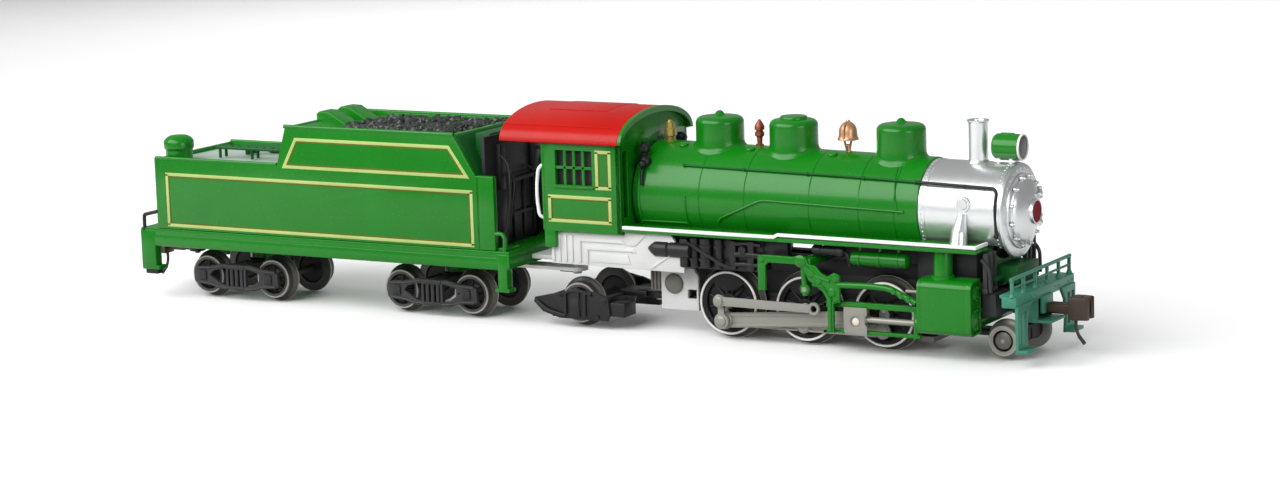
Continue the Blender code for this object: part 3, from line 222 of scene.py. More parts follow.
def rounded_corners(points, radius, steps=5):
    """The path with each inner corner turned into a short curve."""
    path = [Vector(points[0])]
    for before, corner, after in zip(points, points[1:], points[2:]):
        before, corner, after = Vector(before), Vector(corner), Vector(after)
        reach = min(radius, (before - corner).length * 0.48, (after - corner).length * 0.48)
        start = corner + (before - corner).normalized() * reach
        end = corner + (after - corner).normalized() * reach
        for i in range(steps + 1):
            t = i / steps
            path.append(start * (1 - t) ** 2 + corner * 2 * t * (1 - t) + end * t ** 2)
    path.append(Vector(points[-1]))
    return path


def around(count, start=0.0):
    """The cosine and sine of each of that many even turns."""
    turns = [2 * pi * (i + start) / count for i in range(count)]
    return [(cos(t), sin(t)) for t in turns]


def stitch(part, rings):
    """Join each ring of corners to the next. A ring of one corner is a point."""
    sides = max(len(ring) for ring in rings)
    for first, second in zip(rings, rings[1:]):
        for k in range(sides):
            corners = [first[k % len(first)], first[(k + 1) % len(first)],
                       second[(k + 1) % len(second)], second[k % len(second)]]
            part.faces.new(list(dict.fromkeys(corners)))


class Piece:
    """Closed shapes in millimetres, gathered into one object. A shape given at y lands at side * y."""

    def __init__(self, side=1):
        self.all = bmesh.new()
        self.side = side

    def at(self, s, y, h):
        return spot(s, self.side * y, h)

    def along(self, direction):
        return facing((direction[0], self.side * direction[1], direction[2]))

    def take(self, part):
        bmesh.ops.recalc_face_normals(part, faces=part.faces)
        mesh = bpy.data.meshes.new("part")
        part.to_mesh(mesh)
        part.free()
        self.all.from_mesh(mesh)
        bpy.data.meshes.remove(mesh)
        return self

    def box(self, stations, ys, heights, bevel=0.1):
        ys = [self.side * y for y in ys]
        low = spot(min(stations), min(ys), min(heights))
        high = spot(max(stations), max(ys), max(heights))
        part = bmesh.new()
        bmesh.ops.create_cube(part, size=1.0)
        size = Matrix.Diagonal((*(high - low), 1.0))
        bmesh.ops.transform(part, matrix=Matrix.Translation((low + high) / 2) @ size, verts=part.verts)
        bevel = min(bevel, 0.4 * min(high - low))
        if bevel > 0:
            bmesh.ops.bevel(part, geom=part.edges[:], offset=bevel, segments=2, profile=0.5, affect="EDGES")
        return self.take(part)

    def rod(self, start, end, radius, end_radius=None, sides=28, bevel=0.06):
        """A round bar or cone with softened ends."""
        last = radius if end_radius is None else end_radius
        a, b = self.at(*start), self.at(*end)
        length = (b - a).length
        bevel = min(bevel, length * 0.3, radius * 0.5, last * 0.5)
        profile = [(0.0, length), (last - bevel, length), (last, length - bevel), (radius, bevel),
                   (radius - bevel, 0.0), (0.0, 0.0)]
        return self.spun(profile, Matrix.Translation(a) @ facing(b - a), sides)

    def turned(self, profile, centre, axis, sides=64):
        """A turned shape: (radius, distance along the axis from the centre) pairs. It is a ring if none is 0."""
        return self.spun(profile, Matrix.Translation(self.at(*centre)) @ self.along(axis), sides)

    def spun(self, profile, place, sides):
        part = bmesh.new()
        rings = []
        for radius, along in profile:
            if radius < 1e-6:
                rings.append([part.verts.new(place @ Vector((0, 0, along)))])
                continue
            rings.append([part.verts.new(place @ Vector((radius * c, radius * s, along)))
                          for c, s in around(sides)])
        stitch(part, rings + rings[:1] if len(rings[0]) > 1 else rings)
        return self.take(part)

    def plate(self, points, place, thickness, holes=(), bevel=0.06):
        """A flat plate with softened edges, from an outline and holes in its own plane."""
        curve = bpy.data.curves.new("outline", "CURVE")
        curve.dimensions = "2D"
        curve.fill_mode = "BOTH"
        curve.extrude = thickness / 2 - bevel
        curve.bevel_depth = bevel
        curve.bevel_resolution = 1
        curve.offset = -bevel
        for index, loop in enumerate((points, *holes)):
            area = sum(a[0] * b[1] - b[0] * a[1] for a, b in zip(loop, [*loop[1:], loop[0]]))
            if (area > 0) == (index > 0):
                loop = loop[::-1]
            spline = curve.splines.new("POLY")
            spline.points.add(len(loop) - 1)
            for knot, (u, v) in zip(spline.points, loop):
                knot.co = (u, v, 0.0, 1.0)
            spline.use_cyclic_u = True
        made = bpy.data.objects.new("outline", curve)
        mesh = bpy.data.meshes.new_from_object(made)
        part = bmesh.new()
        part.from_mesh(mesh)
        bpy.data.objects.remove(made)
        bpy.data.meshes.remove(mesh)
        bpy.data.curves.remove(curve)
        bmesh.ops.transform(part, matrix=place, verts=part.verts)
        bmesh.ops.remove_doubles(part, verts=part.verts, dist=0.0005)
        return self.take(part)

    def side_plate(self, points, ys, holes=(), bevel=0.06):
        """An upright plate along the engine: its outline is (station, height) pairs."""
        across = Matrix(((1, 0, 0), (0, 0, -1), (0, 1, 0))).to_4x4()
        place = Matrix.Translation(self.at(0, sum(ys) / 2, 0)) @ across
        return self.plate(points, place, abs(ys[1] - ys[0]), holes, bevel)

    def end_plate(self, points, stations, holes=(), bevel=0.06):
        """An upright plate across the engine: its outline is (y, height) pairs."""
        across = Matrix(((0, 0, 1), (1, 0, 0), (0, 1, 0))).to_4x4()
        place = Matrix.Translation(spot(sum(stations) / 2, 0, 0)) @ across
        loops = [[(self.side * y, h) for y, h in loop] for loop in (points, *holes)]
        return self.plate(loops[0], place, abs(stations[1] - stations[0]), loops[1:], bevel)

    def tube(self, points, radius, corner=0.0, sides=10):
        """A round wire or pipe through (s, y, h) points."""
        path = [self.at(*p) for p in points]
        if corner and len(path) > 2:
            path = rounded_corners(path, corner)
        part = bmesh.new()
        rings = []
        across = None
        for i, here in enumerate(path):
            ahead = (path[min(i + 1, len(path) - 1)] - path[max(i - 1, 0)]).normalized()
            if across is None:
                across = ahead.orthogonal().normalized()
            across = (across - ahead * across.dot(ahead)).normalized()
            other = ahead.cross(across)
            rings.append([part.verts.new(here + radius * (across * c + other * s)) for c, s in around(sides)])
        stitch(part, rings)
        part.faces.new(rings[0])
        part.faces.new(rings[-1])
        return self.take(part)

    def rivet(self, place, normal, radius=0.15):
        """A round rivet head standing on a surface."""
        profile = [(0.0, radius * 0.62), (radius * 0.62, radius * 0.46), (radius, 0.0), (radius, -0.08),
                   (0.0, -0.08)]
        return self.spun(profile, Matrix.Translation(self.at(*place)) @ self.along(normal), 8)

    def ball(self, place, radius, rings=8, sides=16):
        turns = [pi * i / rings for i in range(rings + 1)]
        profile = [(radius * sin(t) if 0 < i < rings else 0.0, radius * cos(t)) for i, t in enumerate(turns)]
        return self.spun(profile, Matrix.Translation(self.at(*place)), sides)

    def walled(self, sections):
        """A wall lofted along the engine: each section is (station, outer points, inner points)."""
        part = bmesh.new()
        loops = []
        for s, outer, inner in sections:
            loops.append([part.verts.new(spot(s, y, h)) for y, h in [*outer, *inner[::-1]]])
        size = len(loops[0])
        stitch(part, loops)
        for loop in (loops[0], loops[-1]):
            for k in range(size // 2 - 1):
                part.faces.new((loop[k], loop[k + 1], loop[size - 2 - k], loop[size - 1 - k]))
        return self.take(part)

    def done(self, name, look, *replaces, body="locomotive", slot=None, sharp=32):
        """Make the object. It rides on the body. The slot that it is given is not used."""
        mesh = bpy.data.meshes.new(name)
        bmesh.ops.transform(self.all, matrix=Matrix.Scale(MM, 4), verts=self.all.verts)
        self.all.to_mesh(mesh)
        self.all.free()
        mesh.materials.append(look)
        mesh.shade_smooth()
        mesh.set_sharp_from_angle(angle=radians(sharp))
        made = bpy.data.objects.new(name, mesh)
        bpy.context.scene.collection.objects.link(made)
        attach(made, body)
        if replaces:
            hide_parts(*replaces)
        return made


def both_sides(*pieces):
    """Go through the right and left sides, with the pieces set to each. They end on the left, where y is itself."""
    for side in SIDES.values():
        for piece in pieces:
            piece.side = side
        yield side


# ---- boiler ----

def boiler_radius(s):
    share = (s - SMOKEBOX_REAR) / (BOILER_REAR - SMOKEBOX_REAR)
    return BOILER_RADIUS_FRONT + (BOILER_RADIUS_REAR - BOILER_RADIUS_FRONT) * share


def barrel_arc(radius, opening=BARREL_OPENING, steps=88):
    """(y, h) points round a barrel that is open along its underside."""
    reach = pi - opening
    turns = [-reach + 2 * reach * i / steps for i in range(steps + 1)]
    return [(radius * sin(t), BOILER_HEIGHT + radius * cos(t)) for t in turns]


def on_barrel(s, h, lift=0.0):
    """The point of the barrel's side at that station and height, lifted off it."""
    radius = (boiler_radius(s) if s < SMOKEBOX_REAR else SMOKEBOX_RADIUS) + lift
    rise = h - BOILER_HEIGHT
    return s, sqrt(max(radius ** 2 - rise ** 2, 0.0)), h


def dome(piece, s, finial):
    """A dome whose foot spreads out and follows the barrel."""
    top = DOME_SHOULDER
    crown = [(r, top + lift) for r, lift in (
        ((0.0, 0.72), (0.24, 0.68), (0.46, 0.5), (0.62, 0.28), (0.74, 0.16), (1.2, 0.1), (1.9, 0.03))
        if finial else ((0.0, 0.4), (1.6, 0.4), (1.74, 0.34), (1.8, 0.22), (1.82, 0.06), (1.98, 0.0))
    )]
    crown += arc((DOME_RADIUS - 0.85, top - 0.87), 0.85, 84, 0, 8)
    waist = BOILER_HEIGHT + boiler_radius(s) + 1.15
    rows = [(r, h, 0.0) for r, h in crown] + [(DOME_RADIUS, waist, 0.0)]
    rows += [(DOME_RADIUS + 0.02, 0.6, 1.0), (DOME_RADIUS + 0.07, 0.36, 1.0), (DOME_RADIUS + 0.18, 0.16, 1.0),
             (DOME_RADIUS + 0.36, 0.04, 1.0), (DOME_RADIUS + 0.45, -0.12, 1.0)]
    part = bmesh.new()
    rings = []
    for radius, level, on_surface in rows:
        if radius == 0.0:
            rings.append([part.verts.new(spot(s, 0, level))])
            continue
        ring = []
        for c, d in around(64):
            x, y = s + radius * c, radius * d
            skin = BOILER_HEIGHT + sqrt(boiler_radius(x) ** 2 - y ** 2)
            ring.append(part.verts.new(spot(x, y, skin + level if on_surface else level)))
        rings.append(ring)
    rings.append([part.verts.new(spot(s, 0, BOILER_HEIGHT + 5.5))])
    stitch(part, rings)
    piece.take(part)


def boiler():
    seams = (-14.7, -8.1, 1.2, 8.2, 13.2)
    groove, depth = 0.09, 0.07
    sections = [(BOILER_REAR, BOILER_RADIUS_REAR - 0.75), (BARREL_REAR - 0.02, BOILER_RADIUS_REAR - 0.75),
                (BARREL_REAR, boiler_radius(BARREL_REAR) - 0.1),
                (BARREL_REAR + 0.1, boiler_radius(BARREL_REAR))]
    for s in seams:
        r = boiler_radius(s)
        sections += [(s - groove, r), (s, r - depth), (s + groove, r)]
    sections += [(SMOKEBOX_REAR - 0.12, BOILER_RADIUS_FRONT), (SMOKEBOX_REAR, BOILER_RADIUS_FRONT - 0.12)]
    piece = Piece()
    piece.walled([(s, barrel_arc(r), barrel_arc(min(r, boiler_radius(s)) - WALL)) for s, r in sections])
    for name, s in DOMES.items():
        dome(piece, s, name != "steam")
    for _ in both_sides(piece):
        for s in (BARREL_REAR + 0.35, FIREBOX_FRONT):
            heights = [BOARD_TOP + 0.1 + 0.5 * k for k in range(9)]
            piece.tube([on_barrel(s, h, 0.02) for h in heights], 0.15, sides=10)
        piece.tube([on_barrel(BARREL_REAR + 0.35 + 0.7 * k, BOARD_TOP + 0.4, 0.02) for k in range(11)], 0.14,
                   sides=10)
        pipe = [(-12.1, 15.0), (-11.6, 15.6), (-5.9, 18.1), (-5.3, 18.25), (14.6, 17.75)]
        route = []
        for (s1, h1), (s2, h2) in zip(pipe, pipe[1:]):
            steps = max(2, int(abs(s2 - s1)))
            route += [on_barrel(s1 + (s2 - s1) * i / steps, h1 + (h2 - h1) * i / steps, 0.06)
                      for i in range(steps)]
        piece.tube(route + [on_barrel(14.6, 17.75, 0.06)], 0.17, sides=12)
        drop = [on_barrel(12.6 + 0.12 * k, 22.9 - 0.55 * k, 0.03) for k in range(11)]
        piece.tube(drop, 0.1, sides=8)
    for s in (-19.3, -9.4, 2.6):
        saddle = BOILER_HEIGHT + boiler_radius(s)
        piece.turned([(0.0, 0.3), (0.5, 0.3), (0.62, 0.2), (0.62, -0.3), (0.0, -0.3)],
                     (s, -1.9, saddle - 0.28),
                     (0, -0.3, 1), 20)
    piece.done("boiler", GREEN, "boiler_shell")

    rivets = Piece()
    count = 46
    for i in range(count):
        turn = -radians(132) + radians(264) * i / (count - 1)
        radius = SMOKEBOX_RADIUS + 0.02
        for s in (SMOKEBOX_REAR + 0.42, SMOKEBOX_FRONT - 0.5):
            normal = (0, sin(turn), cos(turn))
            rivets.rivet((s, radius * normal[1], BOILER_HEIGHT + radius * normal[2]), normal, 0.13)
    rivets.done("smokebox_rivets", SILVER)


def smokebox():
    piece = Piece()
    rear, front = SMOKEBOX_REAR + 0.03, SMOKEBOX_FRONT
    r = SMOKEBOX_RADIUS
    sections = [(rear, r - 0.05), (rear + 0.05, r + 0.02), (rear + 0.85, r + 0.02), (rear + 0.9, r - 0.04),
                (22.0, r - 0.04), (front - 0.95, r - 0.04), (front - 0.9, r + 0.02), (front - 0.02, r + 0.02)]
    opening = radians(50)
    piece.walled([(s, barrel_arc(radius, opening), barrel_arc(r - WALL, opening)) for s, radius in sections])
    for _ in both_sides(piece):
        boss = (22.6, 5.75, 19.05)
        piece.turned([(0.0, 0.42), (0.62, 0.42), (0.68, 0.3), (0.95, 0.28), (1.02, 0.12), (1.02, -0.5),
                      (0.0, -0.5)],
                     boss, (0, 1, 0.1), 36)
        for c, d in around(8):
            piece.rivet((boss[0] + 0.82 * c, 6.02, boss[2] + 0.82 * d), (0, 1, 0.1), 0.09)
        piece.rod((22.55, 5.95, 17.9), (22.45, 6.75, 15.6), 0.55, 1.0, 32)
        piece.rod((22.45, 6.75, 15.75), (22.42, 7.05, BOARD_TOP - 0.1), 1.0, 1.14, 32)
        piece.rod((22.5, 6.9, 16.7), (22.42, 7.75, 14.6), 0.3, 0.42, 20)
    stack_foot = [(1.5, 0.02), (1.42, 0.14), (1.28, 0.36), (1.22, 0.5), (0.9, 0.5), (0.9, -0.7), (1.5, -0.7)]
    piece.turned(stack_foot, (22.18, 0, BOILER_HEIGHT + r - 0.28), UP, 48)
    piece.done("smokebox", SILVER, "smokebox_shell")

    door = Piece()
    face = SMOKEBOX_FRONT
    door.turned(
        [(0.0, face + 2.35), (0.6, face + 2.33), (1.6, face + 2.2), (2.7, face + 1.9), (3.6, face + 1.48),
         (4.1, face + 1.12), (4.18, face + 0.95), (4.18, face + 0.74), (4.7, face + 0.7), (4.78, face + 0.62),
         (4.8, face + 0.46), (5.75, face + 0.42), (5.95, face + 0.3), (6.05, face + 0.08), (6.05, face),
         (5.3, face), (5.3, face - 1.0), (0.0, face - 1.0)],
        (0, 0, BOILER_HEIGHT), FORWARD, 96,
    )
    for c, d in around(28):
        door.rivet((face + 0.4, 5.35 * d, BOILER_HEIGHT + 5.35 * c), FORWARD, 0.17)
    for c, d in around(12, 0.5):
        out = Vector((0, d, c))
        at = Vector((face + 0.78, 0, BOILER_HEIGHT)) + out * 4.42
        door.rod(at, at + Vector((0.5, 0, 0)), 0.27, sides=16)
        door.rod(at + Vector((0.5, 0, 0)), at + Vector((0.78, 0, 0)), 0.17, sides=12)
        inner = at - out * 0.55 + Vector((0.28, 0, 0))
        door.rod(at + Vector((0.28, 0, 0)), inner, 0.17, 0.12, sides=10)
    for h in (-1.9, 1.9):
        hinge = [(face + 1.05, 4.5, h), (face + 1.35, 3.9, h), (face + 1.98, 2.6, h * 0.98),
                 (face + 2.28, 1.5, h * 0.96)]
        door.tube([(s, y, BOILER_HEIGHT + z) for s, y, z in hinge], 0.3, sides=12)
        door.rod((face + 0.95, 4.62, BOILER_HEIGHT + h - 0.5), (face + 0.95, 4.62, BOILER_HEIGHT + h + 0.5),
                 0.34,
                 sides=16)
    door.done("smokebox_door", SILVER, "smokebox_front")

    plate = Piece()
    plate.turned([(0.0, face + 2.62), (1.3, face + 2.62), (1.38, face + 2.55), (1.38, face + 2.1),
                  (0.0, face + 2.1)],
                 (0, 0, BOILER_HEIGHT), FORWARD, 48)
    plate.done("front_plate", PLATE_RED)
    rim = Piece()
    rim.turned([(1.38, face + 2.6), (1.46, face + 2.62), (1.54, face + 2.58), (1.6, face + 2.4),
                (1.6, face + 2.0),
                (1.38, face + 2.0)], (0, 0, BOILER_HEIGHT), FORWARD, 48)
    rim.done("front_plate_rim", SILVER)


def stack_and_fittings():
    stack = Piece()
    stack.turned(
        [(1.44, 28.97), (1.44, 28.86), (1.28, 28.68), (1.23, 28.3), (1.22, 25.0), (1.24, 22.6),
         (0.85, 22.6), (0.85, 28.7), (0.95, 28.98), (1.36, 29.02)],
        (22.18, 0, 0), UP, 48,
    )
    stack.done("stack", SILVER, "smokestack")

    lamp_height = 25.75
    lamp = Piece()
    lamp.turned(
        [(0.0, 24.36), (1.15, 24.4), (1.42, 24.52), (1.58, 24.75), (1.64, 25.0), (1.64, 27.9), (1.66, 28.0),
         (1.66, 28.14),
         (1.3, 28.14), (1.3, 27.6), (0.0, 27.6)],
        (0, 0, lamp_height), FORWARD, 48,
    )
    lamp.box((25.3, 27.1), (-0.22, 0.22), (27.2, 27.5), 0.1)
    lamp.done("headlight_case", GREEN, "headlight")
    ring = Piece()
    ring.turned([(1.48, 28.34), (1.56, 28.38), (1.66, 28.35), (1.7, 28.27), (1.7, 28.12), (1.48, 28.12)],
                (0, 0, lamp_height), FORWARD, 48)
    ring.box((24.7, 27.5), (-1.0, 1.0), (23.86, 24.12), 0.08)
    ring.box((25.0, 25.4), (-0.8, 0.8), (23.6, 24.5), 0.08)
    ring.box((26.7, 27.1), (-0.8, 0.8), (23.6, 24.5), 0.08)
    ring.done("headlight_ring", WHITE)
    lens = Piece()
    lens.turned([(0.0, 28.3), (0.6, 28.29), (1.1, 28.25), (1.47, 28.2), (1.47, 28.1), (0.0, 28.1)],
                (0, 0, lamp_height), FORWARD, 48)
    lens.done("headlight_lens", LENS)

    bell_top = BOILER_HEIGHT + boiler_radius(3.9)
    bell = Piece()
    bell.turned(
        [(0.0, 28.3), (0.2, 28.25), (0.32, 28.02), (0.62, 27.86), (0.92, 27.56), (1.12, 27.15), (1.2, 26.6),
         (1.22, 26.2),
         (1.3, 25.95), (1.4, 25.8), (1.38, 25.68), (1.15, 25.66), (0.9, 25.9), (0.0, 26.0)],
        (3.9, 0, 0), UP, 32,
    )
    bell.ball((3.9, 0, 25.72), 0.26)
    for sign in (-1, 1):
        bell.tube([(3.9, sign * 0.3, 28.0), (3.9, sign * 1.3, 27.5), (3.9, sign * 1.42, 26.2),
                   (3.9, sign * 0.7, 25.0),
                   (3.9, sign * 0.3, bell_top)], 0.15, corner=0.5)
    bell.rod((3.9, 0, bell_top - 0.1), (3.9, 0, bell_top + 0.95), 0.42, 0.24, 20)
    bell.done("bell_and_yoke", COPPER, "bell")

    whistle_top = BOILER_HEIGHT + boiler_radius(-9.3)
    whistle = Piece()
    whistle.turned(
        [(0.0, 27.75), (0.16, 27.7), (0.3, 27.45), (0.5, 27.15), (0.66, 26.8), (0.66, 26.4), (0.46, 26.3),
         (0.46, 26.15), (0.64, 26.05), (0.62, 25.6), (0.4, 25.4), (0.34, whistle_top + 0.2),
         (0.56, whistle_top + 0.1),
         (0.56, whistle_top - 0.2), (0.0, whistle_top - 0.2)],
        (-9.3, 0.6, 0), UP, 20,
    )
    whistle.done("whistle_fine", WHISTLE, "whistle")

    valve_top = BOILER_HEIGHT + boiler_radius(-22.4)
    valve = Piece()
    valve.turned(
        [(0.0, 27.25), (0.3, 27.22), (0.38, 27.0), (0.56, 26.85), (0.6, 26.2), (0.78, 26.0), (0.8, 25.2),
         (0.6, 25.0),
         (0.55, valve_top + 0.1), (0.85, valve_top), (0.85, valve_top - 0.2), (0.0, valve_top - 0.2)],
        (-22.4, 0, 0), UP, 24,
    )
    valve.done("safety_valve_fine", BRASS, "safety_valve")

    turret = Piece()
    for _ in both_sides(turret):
        turret.rod((-23.6, 4.9, 20.9), (-23.6, 4.9, 24.9), 0.5, 0.42, 20)
        turret.ball((-23.5, 5.0, 24.1), 0.78)
        turret.rod((-23.5, 4.2, 24.2), (-23.5, 5.95, 24.1), 0.4, sides=16)
        turret.ball((-23.3, 5.35, 22.4), 0.86)
        turret.rod((-23.3, 4.4, 22.4), (-23.2, 6.4, 22.2), 0.46, sides=16)
        turret.ball((-23.2, 6.35, 22.2), 0.5)
        turret.tube([(-23.3, 5.6, 22.0), (-23.2, 6.5, 21.2), (-23.1, 6.85, 19.4)], 0.24, corner=0.6)
    turret.done("turret_valves", BLACK)


def handrails():
    """A thin rail along the boiler: painted in with the barrel, and bare black wire over the smokebox."""
    joint = 16.0
    painted, wire = Piece(), Piece()
    for _ in both_sides(painted, wire):
        y = 5.3
        painted.tube([(-17.6, y, 22.1), (7.0, y, 21.75), (joint, y, 21.5)], 0.14, sides=12)
        wire.tube([(joint - 0.1, y, 21.5), (26.6, y, 21.2), (26.95, 5.5, 20.7), (27.0, 6.1, 18.9),
                   (27.05, 5.85, 15.4)], 0.2, corner=0.9, sides=12)
        for s, h in ((-17.4, 22.1), (-8.6, 21.98), (0.6, 21.84), (8.6, 21.7), (15.8, 21.5), (22.6, 21.3)):
            piece = painted if s < joint else wire
            piece.rod(on_barrel(s, h - 0.15, -0.1), (s, y, h), 0.12, sides=10)
            piece.ball((s, y, h), 0.24, 6, 12)
        wire.ball((27.05, 5.85, 15.3), 0.36, 6, 12)
    # The painted rail takes the darker green: painted shade along the rail on the barrel
    painted.done("boiler_handrails", DEEP_GREEN)
    wire.done("smokebox_handrails", BLACK)


# ---- running boards ----

def running_boards():
    for name, side in SIDES.items():
        outer = 9.19
        board = Piece(side)
        board.box((-24.9, BOARD_STEP), (6.5, (outer - 0.02)), (BOARD_UNDER + 0.02, BOARD_TOP), 0.08)
        board.box((BOARD_STEP - 0.3, 25.7), (5.4, (outer - 0.06)), (BOARD_UNDER, BOARD_UNDER + 0.52), 0.08)
        y, h = 6.9, 11.6
        board.turned([(0.0, 15.62), (0.6, 15.56), (0.88, 15.35), (0.96, 15.05), (0.96, 7.95), (0.88, 7.65),
                      (0.6, 7.44),
                      (0.0, 7.38)], (0, y, h), FORWARD, 36)
        for s in (8.6, 11.4, 14.0):
            board.turned([(1.04, s), (1.04, s + 0.35), (0.9, s + 0.35), (0.9, s)], (0, y, h), FORWARD, 36)
            board.box((s, s + 0.35), (6.7, 7.1), (h + 0.8, BOARD_UNDER + 0.1), 0.05)
        board.done(f"board_{name}", GREEN, f"running_board_{name}")

        edge = Piece(side)
        low, high = BOARD_UNDER + 0.42, BOARD_TOP + 0.04
        edge.box((-24.9, BOARD_STEP - 0.35), ((outer - 0.3), (outer + 0.04)), (low - 0.02, high), 0.06)
        rise = 0.32
        edge.side_plate([(BOARD_STEP - 0.4, low), (BOARD_STEP + 0.2, low + rise), (25.62, low + rise - 0.12),
                         (25.7, high + rise - 0.1), (BOARD_STEP + 0.1, high + rise),
                         (BOARD_STEP - 0.5, high)],
                        ((outer - 0.32), (outer + 0.05)))
        edge.box((25.42, 25.76), (5.4, (outer + 0.04)), (low + rise - 0.14, high + rise - 0.12), 0.06)
        edge.done(f"board_edge_{name}", WHITE)

        infill = Piece(side)
        infill.box((BOARD_STEP - 0.2, 25.5), (5.2, (outer - 0.3)), (BOARD_UNDER + 0.3, BOARD_TOP + 0.02),
                   0.05)
        infill.done(f"board_tread_{name}", GREEN)


# ---- cab ----

def roof_arch(half_width, rise, eave=ROOF_EAVE, steps=40):
    turns = [pi * (1 - i / steps) for i in range(steps + 1)]
    return [(half_width * cos(t), eave + rise * sin(t)) for t in turns]


def frame_strip(piece, s_from, s_to, h_from, h_to, y, width, proud):
    """A thin rectangular line standing on a side wall."""
    ys = ((y - 0.05), (y + proud))
    piece.box((s_from, s_to), ys, (h_to - width, h_to), 0.012)
    piece.box((s_from, s_to), ys, (h_from, h_from + width), 0.012)
    piece.box((s_from, s_from + width), ys, (h_from + width * 0.5, h_to - width * 0.5), 0.012)
    piece.box((s_to - width, s_to), ys, (h_from + width * 0.5, h_to - width * 0.5), 0.012)


def cab():
    s_from, s_to, h_from, h_to = WINDOW
    bottom = 13.0
    for name, side in SIDES.items():
        wall = Piece(side)
        window = [(s_from, h_from), (s_to, h_from), (s_to, h_to), (s_from, h_to)]
        outline = [(CAB[0], bottom), (CAB[1], bottom), (CAB[1], ROOF_EAVE + 0.5), (CAB[0], ROOF_EAVE + 0.5)]
        wall.side_plate(outline, ((CAB_HALF - 0.7), CAB_HALF), [window], 0.07)
        bar = 0.2
        columns = 4
        pane = (s_to - s_from) / columns
        ys = ((CAB_HALF - 0.42), (CAB_HALF - 0.12))
        for i in range(1, columns):
            wall.box((s_from + pane * i - bar, s_from + pane * i + bar), ys, (h_from - 0.1, h_to + 0.1), 0.05)
        middle = (h_from + h_to) / 2
        wall.box((s_from - 0.1, s_to + 0.1), ys, (middle - bar, middle + bar), 0.05)
        wall.box((s_from - 0.3, s_to + 0.3), ((CAB_HALF - 0.1), (CAB_HALF + 0.22)),
                 (h_from - 0.42, h_from - 0.12), 0.08)
        wall.box((CAB[0], CAB[0] + 1.7), ((CAB_HALF - 0.7), CAB_HALF), (10.75, bottom + 0.2), 0.12)
        wall.box((CAB[0] - 0.16, CAB[0] + 0.3), ((CAB_HALF - 0.75), (CAB_HALF + 0.05)),
                 (bottom + 0.1, ROOF_EAVE - 0.3), 0.1)
        wall.done(f"cab_side_{name}", GREEN, *(["cab_shell"] if side < 0 else []))

        gold, olive = Piece(side), Piece(side)
        for panel in ((-36.15, -26.45, 14.25, 17.9), (-28.75, -26.35, 18.85, 24.1)):
            frame_strip(gold, *panel, CAB_HALF, LINING, 0.035)
            a, b, c, d = panel
            frame_strip(olive, a + LINING, b - LINING, c + LINING, d - LINING, CAB_HALF, 0.2, 0.025)
        gold.done(f"cab_lining_{name}", GOLD)
        olive.done(f"cab_lining_shadow_{name}", OLIVE)

        # Near-black plates inside the cab walls and below the windows: painted shade for the dark cab inside seen
        # through the windows
        dark = Piece(side)
        dark.box((CAB[0] + 0.9, CAB[1] - 1.1), (8.16, 8.36), (bottom + 0.6, ROOF_EAVE - 0.2), 0.05)
        dark.box((s_from - 0.2, s_to + 0.2), (7.9, 8.2), (h_from - 0.5, h_from - 0.2), 0.05)
        dark.box((CAB[1] - 1.05, CAB[1] - 0.66), (6.9, 8.36), (14.6, 24.6), 0.05)
        dark.done(f"cab_window_shade_{name}", BLACKENED_AND_SHADE)

        grab = Piece(side)
        y = (CAB_HALF + 0.12)
        grab.tube([(-36.75, (CAB_HALF - 0.3), 22.0), (-37.45, y, 21.4), (-37.75, y, 19.4), (-37.8, y, 17.2),
                   (-37.5, y, 15.0), (-36.9, (CAB_HALF - 0.3), 14.6)], 0.23, corner=1.2, sides=12)
        grab.done(f"cab_grab_{name}", WHITE)

    front = Piece()
    arch = [(y, h) for y, h in roof_arch(ROOF_HALF - 0.35, ROOF_RISE - 0.1) if abs(y) < CAB_HALF - 0.02]
    outline = [(-CAB_HALF, bottom), (-CAB_HALF, ROOF_EAVE + 0.6), *arch, (CAB_HALF, ROOF_EAVE + 0.6),
               (CAB_HALF, bottom)]
    hole = arc((0, BOILER_HEIGHT), BOILER_RADIUS_REAR - 0.9, 0, 360, 48)[:-1]
    lights = [[(side * 7.1, 15.2), (side * 8.3, 15.2), (side * 8.3, 23.9), (side * 7.1, 23.9)]
              for side in SIDES.values()]
    front.end_plate(outline, (CAB[1] - 0.7, CAB[1]), [hole, *lights], 0.06)
    rear_frame = roof_arch(CAB_HALF - 0.1, ROOF_RISE - 0.5)
    inner_frame = roof_arch(CAB_HALF - 0.9, ROOF_RISE - 1.2)
    front.walled([(CAB[0] + 0.02, rear_frame, inner_frame), (CAB[0] + 0.7, rear_frame, inner_frame)])
    for _ in both_sides(front):
        front.box((-36.0, -26.0), (6.6, 8.5), (BOARD_TOP - 1.2, BOARD_TOP - 0.7), 0.06)
    front.done("cab_front_wall", GREEN)

    back = Piece()
    back.turned([(0.0, 0.0), (5.2, 0.0), (5.6, -0.3), (5.6, -1.5), (0.0, -1.5)], (-26.0, 0, BOILER_HEIGHT),
                BACK, 48)
    back.rod((-26.2, 0, 16.4), (-27.1, 0, 16.4), 1.5, 1.4, 28)
    for y, h, r in ((-2.6, 20.2, 0.75), (0.2, 21.2, 0.85), (2.7, 20.0, 0.7), (-3.8, 17.6, 0.5),
                    (3.9, 17.4, 0.5)):
        back.rod((-26.2, y, h), (-27.0, y, h), r, sides=24)
    back.tube([(-26.6, -3.4, 22.2), (-27.3, -3.2, 21.6), (-27.4, 1.2, 20.9), (-27.2, 3.2, 18.6)], 0.2,
              corner=0.8)
    back.rod((-26.4, 0.9, 19.0), (-27.5, 3.4, 19.6), 0.16, sides=10)
    back.done("backhead", BLACK)

